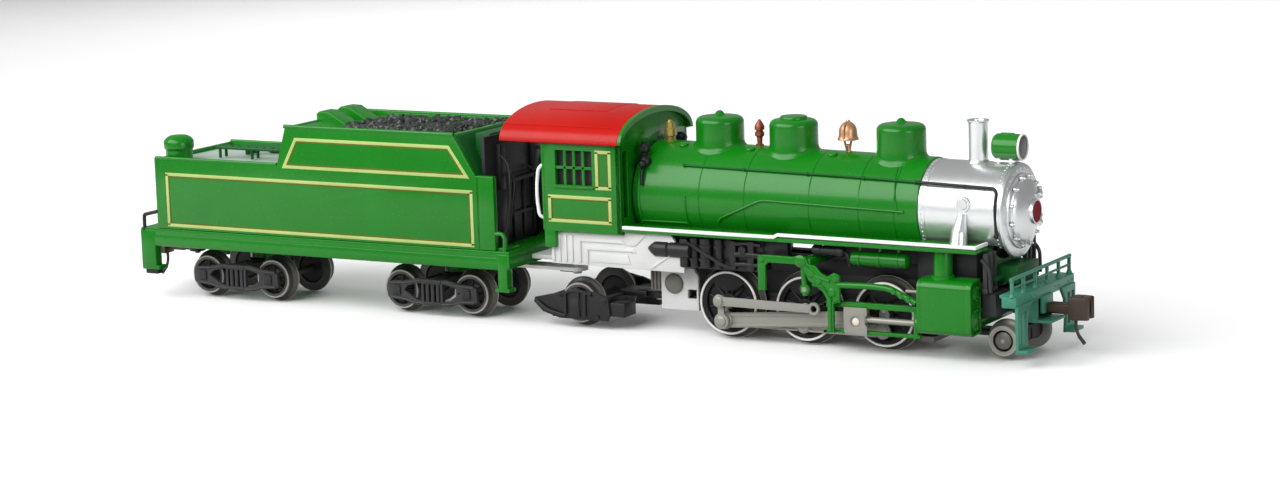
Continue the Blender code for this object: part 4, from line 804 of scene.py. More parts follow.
    roof = Piece()
    outside = roof_arch(ROOF_HALF, ROOF_RISE)
    inside = roof_arch(ROOF_HALF - 0.42, ROOF_RISE - 0.45)
    roof.walled([(s, [(y * k, ROOF_EAVE + (h - ROOF_EAVE) * k) for y, h in outside], inside)
                 for s, k in ((ROOF[0], 0.992), (ROOF[0] + 0.08, 1.0), (ROOF[1] - 0.08, 1.0),
                              (ROOF[1], 0.992))])
    for _ in both_sides(roof):
        roof.tube([(ROOF[0] + 0.1, (ROOF_HALF - 0.3), ROOF_EAVE + 0.12),
                   (ROOF[1] - 0.1, (ROOF_HALF - 0.3), ROOF_EAVE + 0.12)], 0.3, sides=18)
        seam = roof_arch(ROOF_HALF, ROOF_RISE)[7]
        roof.tube([(ROOF[0] + 0.1, -seam[0], seam[1]), (ROOF[1] - 0.1, -seam[0], seam[1])], 0.09, sides=10)
    hatch = [(y, h + 0.08) for y, h in roof_arch(ROOF_HALF, ROOF_RISE, steps=60) if abs(y) < 4.2]
    hatch_under = [(y, h - 0.3) for y, h in hatch]
    roof.walled([(-38.6, [(y, h - 0.06) for y, h in hatch], hatch_under), (-38.45, hatch, hatch_under),
                 (-29.6, hatch, hatch_under), (-29.45, [(y, h - 0.06) for y, h in hatch], hatch_under)])
    roof.done("roof", RED, "cab_roof")
    arch_front = Piece()
    rim = roof_arch(ROOF_HALF - 0.02, ROOF_RISE + 0.05)
    rim_in = roof_arch(ROOF_HALF - 0.7, ROOF_RISE - 0.75)
    arch_front.walled([(ROOF[1] + 0.02, rim, rim_in), (ROOF[1] + 0.5, rim, rim_in)])
    arch_front.done("cab_arch", GREEN)


# ---- underframe and drive ----

def firebox():
    casting = Piece()
    for _ in both_sides(casting):
        outline = [(-36.4, 8.5), (-36.4, 12.85), (-25.1, 12.9), (-25.0, BOARD_UNDER), (-18.2, BOARD_UNDER),
                   (-16.2, 10.6),
                   (-16.2, 8.35)]
        casting.side_plate(outline, (7.8, 8.34), bevel=0.1)
        for k in range(4):
            casting.box((-36.3 + 0.95 * k, -35.85 + 0.95 * k), (8.3, 8.5), (8.8, 12.5), 0.07)
        for corner, top, end in ((-32.2, 12.15, -25.4), (-31.1, 11.1, -23.8)):
            casting.side_plate([(corner, 8.8), (corner, top), (end, top), (end + 0.5, top - 0.45),
                                (corner + 0.45, top - 0.45),
                                (corner + 0.45, 8.8)], (8.3, 8.52), bevel=0.06)
        casting.side_plate([(-30.2, 9.0), (-30.2, 10.2), (-24.6, 10.2), (-24.2, 9.0)], (8.3, 8.46),
                           bevel=0.06)
        casting.side_plate([(-24.9, 11.5), (-23.4, 11.5), (-21.6, 13.2), (-23.1, 13.2)], (8.3, 8.46),
                           bevel=0.06)
        casting.side_plate([(-21.4, 8.7), (-20.8, 8.7), (-18.0, 10.6), (-18.6, 10.6)], (8.3, 8.48),
                           bevel=0.06)
        casting.box((-16.9, -9.9), (6.5, 6.9), (10.3, 13.2), 0.1)
        casting.side_plate([(-21.9, 2.6), (-16.3, 2.6), (-16.3, 7.2), (-17.0, 8.2), (-21.9, 8.2)],
                           (3.9, 4.5), [[(-17.9, 4.2), (-16.6, 4.2), (-16.6, 5.4), (-17.9, 5.4)]], 0.08)
    casting.box((-36.4, -16.4), (-7.9, 7.9), (8.5, 9.1), 0.1)
    casting.box((-44.2, -36.0), (-3.4, 3.4), (7.9, 8.5), 0.1)
    casting.box((-21.85, -16.35), (-4.0, 4.0), (2.65, 3.1), 0.08)
    casting.box((-21.85, -21.2), (-4.0, 4.0), (2.9, 8.0), 0.08)
    casting.rod((-37.5, 0, 8.0), (-37.5, 0, 5.6), 0.6)
    casting.rod((-24.6, 0, 8.9), (-24.6, 0, 2.9), 0.6)
    casting.done("firebox_casting", CASTING, "firebox_frame")

    screws = Piece()
    for _ in both_sides(screws):
        screws.turned([(0.0, 5.0), (0.9, 5.0), (1.25, 4.86), (1.36, 4.7), (1.36, 4.4), (0.0, 4.4)],
                      (-19.9, 0, 6.1), OUT, 32)
        screws.box((-23.6, -21.95), (3.0, 4.3), (4.9, 8.4), 0.16)
        for k in range(3):
            screws.box((-23.5 + 0.55 * k, -23.2 + 0.55 * k), (4.2, 4.5), (5.1, 8.2), 0.06)
    screws.done("frame_screws", LEAD, slot="rod_metal")


def machinery():
    """The black air pump, pipes and brackets that hang above the rear drivers, and the long side tank."""
    works = Piece()
    for side in both_sides(works):
        y, h = 8.1, 11.35
        works.turned([(0.0, -21.7), (0.25, -21.55), (0.7, -21.0), (1.0, -20.5), (1.04, -20.2), (1.04, -18.6),
                      (0.9, -18.4),
                      (1.04, -18.2), (1.04, -15.2), (0.6, -15.0), (0.0, -15.0)], (0, y, h), FORWARD, 28)
        works.box((-16.9, -4.9 if side < 0 else -8.3), (6.2, 7.5), (8.95, 13.3), 0.14)
        if side < 0:
            works.box((-5.1, -1.4), (6.2, 7.4), (10.9, 13.3), 0.12)
        works.box((-16.8, -15.6), (7.3, 8.5), (9.1, 12.9), 0.22)
        for s, size in ((-14.9, 0.66), (-13.2, 0.86), (-11.3, 0.6)):
            works.rod((s, 7.7, 9.2), (s, 7.7, 13.1), size, sides=20)
            for level in (10.1, 11.9):
                works.turned([(size + 0.16, 0.0), (size + 0.16, 0.35), (size - 0.1, 0.35), (size - 0.1, 0.0)],
                             (s, 7.7, level), UP, 20)
        works.tube([(-15.8, 8.3, 12.5), (-12.6, 8.6, 11.0), (-10.0, 8.4, 9.6),
                    (-8.8, 8.0, 9.4)], 0.24, corner=0.8)
        works.box((-9.6, -8.6), (7.4, 8.2), (9.2, 13.0), 0.16)
        works.turned([(0.0, 2.3), (0.45, 2.36), (0.72, 2.6), (0.72, 3.6), (0.6, 3.7), (0.6, 5.9), (0.72, 6.0),
                      (0.72, 6.7), (0.5, 6.9), (0.0, 6.95)], (0, 7.7, 12.45), FORWARD, 28)
        works.tube([(6.6, 7.7, 12.45), (7.3, 7.9, 12.3), (7.5, 7.4, 10.6)], 0.24, corner=0.6)
    for level, size in ((12.6, 0.3), (11.2, 0.42), (9.9, 0.3)):
        works.tube([(-8.8, -7.9, level), (-7.4, -8.15, level + 0.15), (-5.0, -7.9, level)], size, corner=1.0,
                   sides=14)
    works.box((-6.9, -5.9), (-7.4, -8.3), (9.2, 13.1), 0.16)
    works.rod((-7.5, -7.8, 11.9), (-7.5, -8.6, 11.9), 0.55, sides=20)
    works.done("side_machinery", BLACK)

    body = Piece()
    centre = 12.44
    outline = [(y, centre + z) for y, z in (
        *arc((3.0, 2.05), 1.2, 0, 90, 5), *arc((-3.0, 2.05), 1.2, 90, 180, 5),
        *arc((-3.0, -2.05), 1.2, 180, 270, 5), *arc((3.0, -2.05), 1.2, 270, 360, 5))]
    body.end_plate(outline, (-33.9, -22.4), bevel=0.12)
    body.end_plate([(y * 0.94, centre + (h - centre) * 0.94) for y, h in outline], (-22.5, -21.5), bevel=0.12)
    body.turned([(0.52, -22.0), (0.52, -20.4), (0.9, -20.4), (1.6, -20.6), (1.6, -22.0)], (0, 0, centre),
                FORWARD, 32)
    for _ in both_sides(body):
        body.box((-32.4, -24.0), (4.0, 4.22), (centre - 0.9, centre + 0.9), 0.08)
    body.done("drive_motor", LEAD, "motor")

    # The frames take the near-black finish: partly their blackened colour, partly painted shade between the drivers
    frames = Piece()
    for _ in both_sides(frames):
        ys = (0.95, 3.05)
        frames.box((-16.0, 24.2), ys, (5.4, 8.6), 0.12)
        frames.box((-6.2, 23.4), ys, (8.4, 10.6), 0.15)
        frames.box((2.2, 16.0), (1.8, 3.05), (10.4, 15.2), 0.2)
        frames.box((16.2, 24.4), (0.6, 5.9), (9.3, 13.3), 0.2)
        for low, high in ((-16.0, -12.6), (-9.9, -1.4), (1.4, 9.9), (12.7, 17.0)):
            frames.box((low, high), ys, (1.7, 5.6), 0.14)
            frames.box((low + 0.6, high - 0.6), (2.9, 3.2), (2.3, 4.8), 0.1)
        for s in DRIVERS.values():
            frames.turned([(0.86, 0.0), (1.35, 0.0), (1.35, 0.5), (0.86, 0.5)], (s, 3.0, DRIVER_RADIUS),
                          OUT, 28)
    frames.done("chassis_blocks", BLACKENED_AND_SHADE, "chassis_frame_right", "chassis_frame_left", slot="cast_weight")


def cylinders():
    s_from, s_to, h_from, h_to = CYLINDER
    block = Piece()
    for _ in both_sides(block):
        inner, outer = 6.7, 9.93
        outline = [(inner, h_from + 0.05), (outer - 0.9, h_from)]
        outline += arc((outer - 0.75, h_from + 0.75), 0.75, -80, 0, 5)
        outline += [(outer, h_to - 1.3)] + arc((outer - 1.15, h_to - 1.2), 1.15, 5, 88, 6)
        outline += [(inner, h_to)]
        centre = (8.3, 6.5)
        rim = [(centre[0] + (y - centre[0]) * 0.84, centre[1] + (h - centre[1]) * 0.91) for y, h in outline]
        block.end_plate(outline, (s_from + 0.22, s_to - 0.3), bevel=0.14)
        block.end_plate([(y + 0.03, h) for y, h in outline], (s_to - 0.75, s_to - 0.02), [rim], 0.1)
        block.end_plate([(y + 0.03, h) for y, h in outline], (s_from, s_from + 0.6), [rim], 0.1)
        y, h = PISTON_Y, PISTON_HEIGHT
        front = (s_to - 0.3, y - 0.1, 5.0)
        block.turned([(0.0, 0.5), (0.75, 0.46), (1.0, 0.3), (1.35, 0.26), (1.42, 0.14), (1.42, -0.2),
                      (0.0, -0.2)],
                     front, FORWARD, 40)
        block.turned([(0.0, 0.42), (0.5, 0.4), (0.7, 0.26), (0.95, 0.24), (1.0, 0.14), (1.0, -0.2),
                      (0.0, -0.2)],
                     (s_to - 0.3, y - 0.35, 8.3), FORWARD, 36)
        for c, d in around(10):
            block.rivet((s_to, front[1] + 1.18 * c, 5.0 + 1.18 * d), FORWARD, 0.13)
        for c, d in around(8):
            block.rivet((s_to - 0.02, front[1] - 0.25 + 0.84 * c, 8.3 + 0.84 * d), FORWARD, 0.11)
        block.turned([(1.1, 0.5), (1.1, 0.0), (1.0, -0.1), (0.46, -0.1), (0.46, 0.5)], (s_from, y, h), BACK,
                     32)
        block.turned([(0.8, -0.5), (0.8, 0.3), (0.66, 0.5), (0.24, 0.5), (0.24, -0.5)], (s_from, 8.0, 8.0),
                     BACK, 24)
        block.tube([(20.5, 7.6, h_to - 0.5), (20.5, 7.5, 11.4), (20.45, 7.2, 13.4)], 1.2,
                   corner=1.2, sides=32)
        block.turned([(1.5, 0.0), (1.5, 0.3), (1.4, 0.4), (1.1, 0.4), (1.1, 0.0)], (20.5, 7.6, h_to - 0.08),
                     UP, 32)
    block.box((18.2, 24.6), (-7.1, 7.1), (3.45, 4.65), 0.12)
    block.box((18.6, 24.4), (-6.8, 6.8), (4.5, 9.2), 0.2)
    block.rod((20, 0, 4.0), (20, 0, 1.2), 0.6)
    block.done("cylinders", GREEN, "cylinder_block")

    saddle = Piece()
    low = [(-4.4, 8.95), (4.4, 8.95)]
    cradle = arc((0, BOILER_HEIGHT), SMOKEBOX_RADIUS + 0.08, -44, -136, 16)
    saddle.end_plate([*low, (4.4, 12.1), *cradle, (-4.4, 12.1)], (24.5, 25.9), bevel=0.1)
    saddle.end_plate([(-3.3, 8.95), (3.3, 8.95), (3.3, 11.1), (-3.3, 11.1)], (25.8, 28.9), bevel=0.14)
    saddle.box((25.7, 27.0), (-5.8, 5.8), (9.5, 10.1), 0.1)
    # The saddle takes the darker green as painted shade under the smokebox
    saddle.done("smokebox_saddle_fine", DEEP_GREEN, "smokebox_saddle")

    dark = Piece()
    for _ in both_sides(dark):
        for y in (4.9, 6.2, 7.5):
            dark.box((26.0, 26.6), ((y - 0.28), (y + 0.28)), (8.4, 13.3), 0.1)
        dark.box((25.9, 26.7), (4.6, 7.9), (8.3, 8.9), 0.1)
        dark.tube([(25.9, 7.9, 12.6), (27.0, 7.9, 11.4), (27.1, 7.8, 8.5)], 0.24, corner=1.2)
    dark.box((25.5, 27.4), (-6.9, 6.9), (5.2, 8.2), 0.2)
    dark.done("front_pipes", GREY)


def wheel_centre(piece, s, rotation):
    """A spoked driver centre with its hub, crank boss and counterweight.

    The rotation puts the pin straight down at 0."""
    def turned_about(x, z):
        angle = radians(rotation)
        return (s + x * cos(angle) - z * sin(angle),
                DRIVER_RADIUS + x * sin(angle) + z * cos(angle))

    def at(x, z, y):
        station, height = turned_about(x, z)
        return station, y, height

    piece.turned([(0.78, 5.62), (1.1, 5.62), (1.26, 5.5), (1.3, 5.0), (1.3, 4.0), (0.78, 4.0)],
                 (s, 0, DRIVER_RADIUS), OUT, 32)
    piece.turned([(4.0, 5.5), (3.5, 5.46), (3.3, 5.36), (3.22, 4.95), (0.9, 4.9), (0.9, 4.2), (3.3, 3.9),
                  (4.0, 3.9)],
                 (s, 0, DRIVER_RADIUS), OUT, 64)
    for z, x in around(12, 0.5):
        piece.rod(at(1.1 * x, 1.1 * z, 4.98), at(3.4 * x, 3.4 * z, 4.9), 0.26, 0.18, 8, 0.02)
    boss = at(0, -CRANK, 4.2)
    piece.turned([(0.62, 1.4), (0.85, 1.4), (0.98, 1.26), (1.0, 0.9), (1.0, 0.0), (0.62, 0.0)], boss, OUT, 32)
    bridge = [turned_about(x, z) for x, z in ((-0.95, -0.3), (-0.8, -CRANK), (0.8, -CRANK), (0.95, -0.3))]
    piece.side_plate(bridge, (4.4, 5.35), bevel=0.12)
    weight = [turned_about(x, z) for x, z in
              (*arc((0, 0), 3.3, 32, 148, 12), *arc((0, 4.6), 2.85, 208, 332, 8))]
    piece.side_plate(weight, (4.5, 5.46), bevel=0.14)


def driving_wheels():
    for place, s in DRIVERS.items():
        for name, side in SIDES.items():
            body = f"driver_{place}"
            rotation = 0 if side < 0 else 90
            tyre = Piece(side)
            r = DRIVER_RADIUS
            tyre.turned(
                [(3.97, 5.5), (4.0, 5.6), (r - 0.1, 5.6), (r - 0.04, 5.52), (r - 0.01, 5.3), (r, 4.55),
                 (r + 0.12, 4.4), (r + 0.4, 4.28), (r + 0.56, 4.12), (r + 0.6, 3.98), (r + 0.52, 3.84),
                 (r + 0.3, 3.76), (3.97, 3.75), (3.97, 5.3)],
                (s, 0, r), OUT, 96,
            )
            tyre.done(f"tyre_{place}_{name}", DARK_TYRE, f"driver_wheel_{place}_{name}", body=body)
            rim = Piece(side)
            rim.turned([(3.9, 5.46), (3.92, 5.6), (3.96, 5.64), (r - 0.07, 5.64), (r - 0.02, 5.58),
                        (r - 0.02, 5.46)],
                       (s, 0, r), OUT, 96)
            rim.turned([(r + 0.5, 4.12), (r + 0.57, 4.12), (r + 0.6, 3.98), (r + 0.57, 3.84),
                        (r + 0.5, 3.84)],
                       (s, 0, r), OUT, 96)
            rim.done(f"tyre_rim_{place}_{name}", TYRE, body=body)
            centre = Piece(side)
            wheel_centre(centre, s, rotation)
            centre.done(f"wheel_centre_{place}_{name}", WHEEL_BLACK, body=body)
            hub = Piece(side)
            hub.turned([(0.0, 5.72), (0.3, 5.72), (0.42, 5.64), (0.55, 5.62), (0.74, 5.56), (0.74, 4.8),
                        (0.0, 4.8)],
                       (s, 0, DRIVER_RADIUS), OUT, 28)
            along, up = (0, -CRANK) if side < 0 else (CRANK, 0)
            pin = (s + along, 0, DRIVER_RADIUS + up)
            if place == "rear":
                hub.turned([(0.0, 5.66), (0.58, 5.66), (0.58, 4.8), (0.0, 4.8)], pin, OUT, 24)
            else:
                hub.turned([(0.0, 6.46), (0.26, 6.46), (0.5, 6.42), (0.82, 6.42), (0.86, 6.36), (0.5, 6.35),
                            (0.5, 4.8),
                            (0.0, 4.8)], pin, OUT, 24)
            hub.done(f"crank_pin_{place}_{name}", RODS, body=body)


def small_wheels(name, body, s, radius, node, rim, centre, tip):
    """A pair of small wheels on their axle: tyres, dished centres and axle ends."""
    tyres, discs, rims = Piece(), Piece(), Piece()
    for _ in both_sides(tyres, discs, rims):
        tyres.turned(
            [(radius - 0.62, 5.6), (radius - 0.16, 5.6), (radius - 0.06, 5.5), (radius, 4.55),
             (radius + 0.12, 4.4),
             (radius + 0.4, 4.28), (radius + 0.56, 4.12), (radius + 0.6, 3.98), (radius + 0.52, 3.84),
             (radius + 0.3, 3.76), (radius - 0.6, 3.75)],
            (s, 0, radius), OUT, 64,
        )
        discs.turned(
            [(0.0, 5.56), (0.45, 5.56), (0.62, 5.42), (radius * 0.5, 5.0), (radius - 0.8, 5.05),
             (radius - 0.6, 5.36),
             (radius - 0.55, 5.36), (radius - 0.55, 4.0), (radius - 0.9, 3.8), (0.7, 3.9), (0.0, 3.9)],
            (s, 0, radius), OUT, 48,
        )
        if radius > 2.4:
            for x, z in around(8):
                discs.rod((s + 0.7 * x, 5.2, radius + 0.7 * z),
                          (s + (radius - 0.7) * x, 5.12, radius + (radius - 0.7) * z), 0.14, 0.12, 8, 0.02)
        rims.turned([(radius - 0.3, 5.5), (radius - 0.26, 5.62), (radius - 0.1, 5.62), (radius - 0.04, 5.5)],
                    (s, 0, radius), OUT, 64)
        rims.turned([(radius + 0.52, 4.1), (radius + 0.58, 4.1), (radius + 0.6, 3.98), (radius + 0.58, 3.86),
                     (radius + 0.52, 3.86)], (s, 0, radius), OUT, 64)
    rims.done(f"{name}_rims", RIM, body=body)
    tyres.turned([(0.0, tip), (0.26, tip), (0.4, tip - 0.2), (0.42, 5.5), (0.5, 4.2), (0.5, -4.2),
                  (0.42, -5.5),
                  (0.4, 0.2 - tip), (0.26, -tip), (0.0, -tip)], (s, 0, radius), OUT, 28)
    tyres.done(f"{name}_tyres", rim, node, body=body, slot="wheel_metal")
    discs.done(f"{name}_centres", centre, body=body, slot="black_plastic")


def bar_outline(start, end, half_start, half_end):
    (s1, h1), (s2, h2) = start, end
    length = hypot(s2 - s1, h2 - h1)
    u, v = -(h2 - h1) / length, (s2 - s1) / length
    return [(s1 + u * half_start, h1 + v * half_start), (s1 - u * half_start, h1 - v * half_start),
            (s2 - u * half_end, h2 - v * half_end), (s2 + u * half_end, h2 + v * half_end)]


def eye(piece, place, ys, outer, inner):
    """A rod's round end with a bore and a raised lip."""
    low, high = ys
    piece.turned([(inner, high), (inner + 0.14, high + 0.03), (outer - 0.12, high + 0.03),
                  (outer, high - 0.08),
                  (outer, low + 0.06), (outer - 0.06, low), (inner, low)], (place[0], 0, place[1]), OUT, 40)


def motion():
    rear = DRIVERS["rear"]
    rod_length = hypot(WRIST_STATION - rear, WRIST_HEIGHT - DRIVER_RADIUS + CRANK)
    for name, side in SIDES.items():
        along, up = (0.0, -CRANK) if side < 0 else (CRANK, 0.0)
        pin_height = DRIVER_RADIUS + up
        pins = [(s + along, pin_height) for s in DRIVERS.values()]

        side_rod = Piece(side)
        for first, second in zip(pins, pins[1:]):
            start, end = (first[0] + 0.8, first[1]), (second[0] - 0.8, second[1])
            side_rod.side_plate(bar_outline(start, end, 0.84, 0.84), (5.78, 6.12), bevel=0.05)
            for edge in (-0.68, 0.68):
                side_rod.side_plate(bar_outline((start[0], start[1] + edge), (end[0], end[1] + edge), 0.15,
                                                0.15),
                                    (6.0, 6.27), bevel=0.04)
        for i, pin in enumerate(pins):
            eye(side_rod, pin, (5.76, 6.27), 1.08, 0.64 if i == 0 else 0.58)
            side_rod.rod((pin[0], 6.0, pin[1] + 1.0), (pin[0], 6.0, pin[1] + 1.5), 0.3, 0.24, 16)
        side_rod.done(f"side_rod_fine_{name}", RODS, f"side_rod_{name}", body=f"side_rod_{name}")

        rise = WRIST_HEIGHT - pin_height
        wrist = (pins[0][0] + sqrt(rod_length ** 2 - rise ** 2), WRIST_HEIGHT)
        main_rod = Piece(side)
        lean = (wrist[1] - pins[0][1]) / (wrist[0] - pins[0][0])
        main_rod.side_plate(bar_outline((pins[0][0] + 0.75, pins[0][1] + lean * 0.75),
                                        (wrist[0] - 0.6, wrist[1] - lean * 0.6), 1.0, 1.0),
                            (6.56, 6.94), bevel=0.05)
        for edge in (-1, 1):
            start = (pins[0][0] + 1.0, pins[0][1] + lean * 1.0 + edge * 0.68)
            end = (wrist[0] - 0.9, wrist[1] - lean * 0.9 + edge * 0.6)
            main_rod.side_plate(bar_outline(start, end, 0.2, 0.18), (6.85, 7.05), bevel=0.04)
        eye(main_rod, pins[0], (6.54, 7.1), 1.18, 0.64)
        eye(main_rod, wrist, (6.54, 7.1), 0.98, 0.5)
        main_rod.done(f"main_rod_fine_{name}", RODS, f"main_rod_{name}", body=f"main_rod_{name}")

        shift = wrist[0] - WRIST_STATION
        crosshead = Piece(side)
        crosshead.side_plate([(7.1 + shift, 5.25), (10.2 + shift, 5.25), (10.2 + shift, 4.7),
                              (9.9 + shift, 4.3),
                              (9.9 + shift, 3.6), (10.2 + shift, 3.2), (10.2 + shift, 2.8),
                              (7.1 + shift, 2.8)],
                             (7.5, 8.9), bevel=0.1)
        crosshead.side_plate([(x + shift, h) for x, h in (
            (7.25, 5.6), (10.5, 5.6), (10.5, 4.7), (10.2, 4.4), (10.2, 3.5), (10.5, 3.2), (10.5, 2.0),
            (7.6, 2.0), (7.25, 2.4),
        )], (8.86, 9.04), [arc((8.9 + shift, 3.75), 0.72, 0, 360, 20)[:-1]], 0.05)
        crosshead.turned([(0.0, 0.1), (0.5, 0.1), (0.62, 0.0), (0.4, -0.2), (0.4, -10.2), (0.0, -10.2)],
                         (10.1 + shift, PISTON_Y, PISTON_HEIGHT), BACK, 28)
        crosshead.done(f"crosshead_fine_{name}", RODS, f"crosshead_{name}", body=f"crosshead_{name}")
        wrist_pin = Piece(side)
        wrist_pin.turned([(0.0, 9.08), (0.34, 9.07), (0.48, 9.0), (0.48, 7.3), (0.0, 7.3)],
                         (wrist[0], 0, wrist[1]),
                         OUT, 28)
        wrist_pin.done(f"wrist_pin_{name}", NYLON, body=f"crosshead_{name}")

        e_along, e_up = (-0.07, 0.69) if side < 0 else (-0.69, -0.07)
        start, end = pins[0], (rear + e_along, DRIVER_RADIUS + e_up)
        crank = Piece(side)
        crank.side_plate(bar_outline(start, end, 0.5, 0.4), (7.32, 7.66), bevel=0.06)
        crank.turned([(0.0, 7.98), (0.5, 7.96), (0.68, 7.86), (0.72, 7.74), (1.0, 7.7), (1.06, 7.6),
                      (1.06, 7.3),
                      (0.56, 7.28), (0.56, 5.68), (0.0, 5.68)], (start[0], 0, start[1]), OUT, 36)
        crank.turned([(0.0, 8.4), (0.42, 8.38), (0.6, 8.3), (0.6, 8.24), (0.36, 8.2), (0.36, 7.72),
                      (0.7, 7.68),
                      (0.7, 7.3), (0.0, 7.3)], (end[0], 0, end[1]), OUT, 32)
        crank.done(f"return_crank_fine_{name}", RODS, f"return_crank_{name}", body="driver_rear")

        front = (2.5 + e_along + 0.07, 4.8 + e_up - 0.69)
        eccentric = Piece(side)
        lean = (front[1] - end[1]) / (front[0] - end[0])
        eccentric.side_plate(bar_outline((end[0] + 0.5, end[1] + lean * 0.5),
                                         (front[0] - 0.55, front[1] - lean * 0.55), 0.6, 0.56),
                             (7.84, 8.14), bevel=0.05)
        eye(eccentric, end, (7.82, 8.16), 0.86, 0.44)
        eye(eccentric, front, (7.82, 8.16), 0.86, 0.45)
        eccentric.done(f"eccentric_rod_fine_{name}", RODS, f"eccentric_rod_{name}",
                       body=f"eccentric_rod_{name}")


def valve_gear():
    for name, side in SIDES.items():
        hanger = Piece(side)
        inside, outside = 9.12, 9.6
        outline = [(-4.7, 7.1), (-3.6, 7.1), (-3.55, 10.4), (-3.2, 10.75), (1.0, 10.75), (1.9, 10.1),
                   (2.5, 8.9), (4.6, 7.4),
                   (5.2, 6.4), (5.2, 2.2), (6.1, 2.2), (6.1, 6.0), (7.0, 6.2), (7.0, 9.7), (6.2, 10.0),
                   (5.2, 9.4), (4.3, 9.9),
                   (3.6, 10.7), (2.6, 10.9), (2.2, 11.8), (0.9, 11.9), (0.5, 11.7), (-3.9, 11.75),
                   (-4.7, 11.3)]
        hanger.side_plate(outline, (inside, outside), bevel=0.12)
        for s, h, size in ((1.5, 11.2, 0.78), (-4.15, 11.2, 0.5), (2.9, 9.7, 0.55), (4.0, 8.8, 0.5),
                           (6.4, 9.2, 0.5),
                           (5.9, 7.4, 0.6), (6.4, 6.6, 0.4)):
            hanger.turned([(0.0, 0.2), (size * 0.7, 0.18), (size, 0.04), (size, -0.4), (0.0, -0.4)],
                          (s, outside, h), OUT, 28)
        for points in ([(2.2, 10.6), (3.6, 9.4), (5.6, 8.9)], [(3.2, 8.3), (4.6, 8.2), (5.8, 6.4)],
                       [(5.65, 2.5), (5.65, 6.6)]):
            hanger.tube([(s, (outside + 0.02), h) for s, h in points], 0.2, corner=0.4, sides=10)
        hanger.turned([(0.0, 0.14), (0.55, 0.14), (0.72, 0.0), (0.72, -0.9), (0.0, -0.9)], (1.75, 9.0, 7.5),
                      OUT, 28)
        hanger.tube([(1.75, 8.75, 6.7), (1.7, 8.8, 8.2), (1.6, 9.0, 10.8)], 0.42, corner=1.0, sides=16)
        hanger.tube([(6.6, 9.25, 8.4), (11.5, 9.25, 8.55), (14.1, 9.25, 8.35), (15.9, 9.25, 7.5),
                     (17.6, 9.25, 6.8)], 0.42, corner=1.4, sides=16)
        for s, h in ((14.6, 8.1), (15.6, 7.6), (16.6, 7.2)):
            hanger.rod((s, 8.9, h), (s, 9.8, h), 0.36, sides=12)
        for low, high in ((5.48, 6.2), (2.13, 2.57)):
            hanger.box((4.6, 17.75), (7.95, 8.8), (low, high), 0.08)
            hanger.box((4.6, 5.12), (8.3, 9.58), (low + 0.06, high - 0.06), 0.05)
            hanger.box((4.6, 5.5), (9.15, 9.58), (low + 0.06, high - 0.06), 0.05)
        hanger.box((16.9, 17.5), (7.9, 8.85), (2.1, 6.15), 0.1)
        hanger.box((1.2, 2.8), (3.2, 9.3), (10.5, 11.5), 0.12)
        hanger.done(f"valve_hanger_{name}", GREEN, f"valve_gear_hanger_{name}")

        lever = Piece(side)
        lever.rod((15.6, 8.1, 8.0), (17.9, 8.1, 8.0), 0.24)
        lever.rod((1.75, 9.05, 7.5), (1.75, 9.22, 7.5), 0.36)
        lever.done(f"combination_lever_{name}", RODS)


def pilot():
    front = Piece()
    front.box((29.15, 31.15), (-9.3, 9.3), (6.95, 8.35), 0.12)
    front.box((28.4, 29.4), (-8.2, 8.2), (7.92, 8.38), 0.08)
    front.box((28.3, 32.8), (-2.35, 2.35), (3.92, 4.28), 0.1)
    for _ in both_sides(front):
        front.box((28.2, 31.0), (1.97, 2.38), (3.9, 7.1), 0.08)
        step = [(y, h) for y, h in ((9.1, 1.2), (9.2, 7.2), (4.6, 7.2), (5.9, 5.6), (6.3, 3.6), (6.0, 1.2))]
        slots = [[((y + x), h) for x, h in ((-0.36, 2.3), (0.36, 2.3), (0.36, 6.3), (-0.36, 6.3))]
                 for y in (6.95, 8.3)]
        front.end_plate(step, (30.9, 31.35), slots, 0.06)
        front.box((30.9, 32.5), (6.0, 9.1), (1.25, 1.68), 0.08)
        for y in (1.9, 5.6, 9.1):
            front.box((30.32, 30.72), ((y - 0.2), (y + 0.2)), (8.2, 10.5), 0.06)
            front.rod((30.52, y, 8.3), (30.52, y, 8.75), 0.4, 0.3, 16)
        for y in (3.2, 4.4, 7.4, 8.6):
            front.rivet((31.15, y, 7.65), FORWARD, 0.16)
    front.tube([(30.5, -9.4, 10.58), (30.5, 9.4, 10.58)], 0.24, sides=14)
    front.tube([(30.5, -9.25, 9.45), (30.5, 9.25, 9.45)], 0.16, sides=12)
    front.box((31.0, 31.5), (-1.6, 1.6), (5.0, 7.2), 0.1)
    front.done("pilot_beam", TEAL, "pilot")


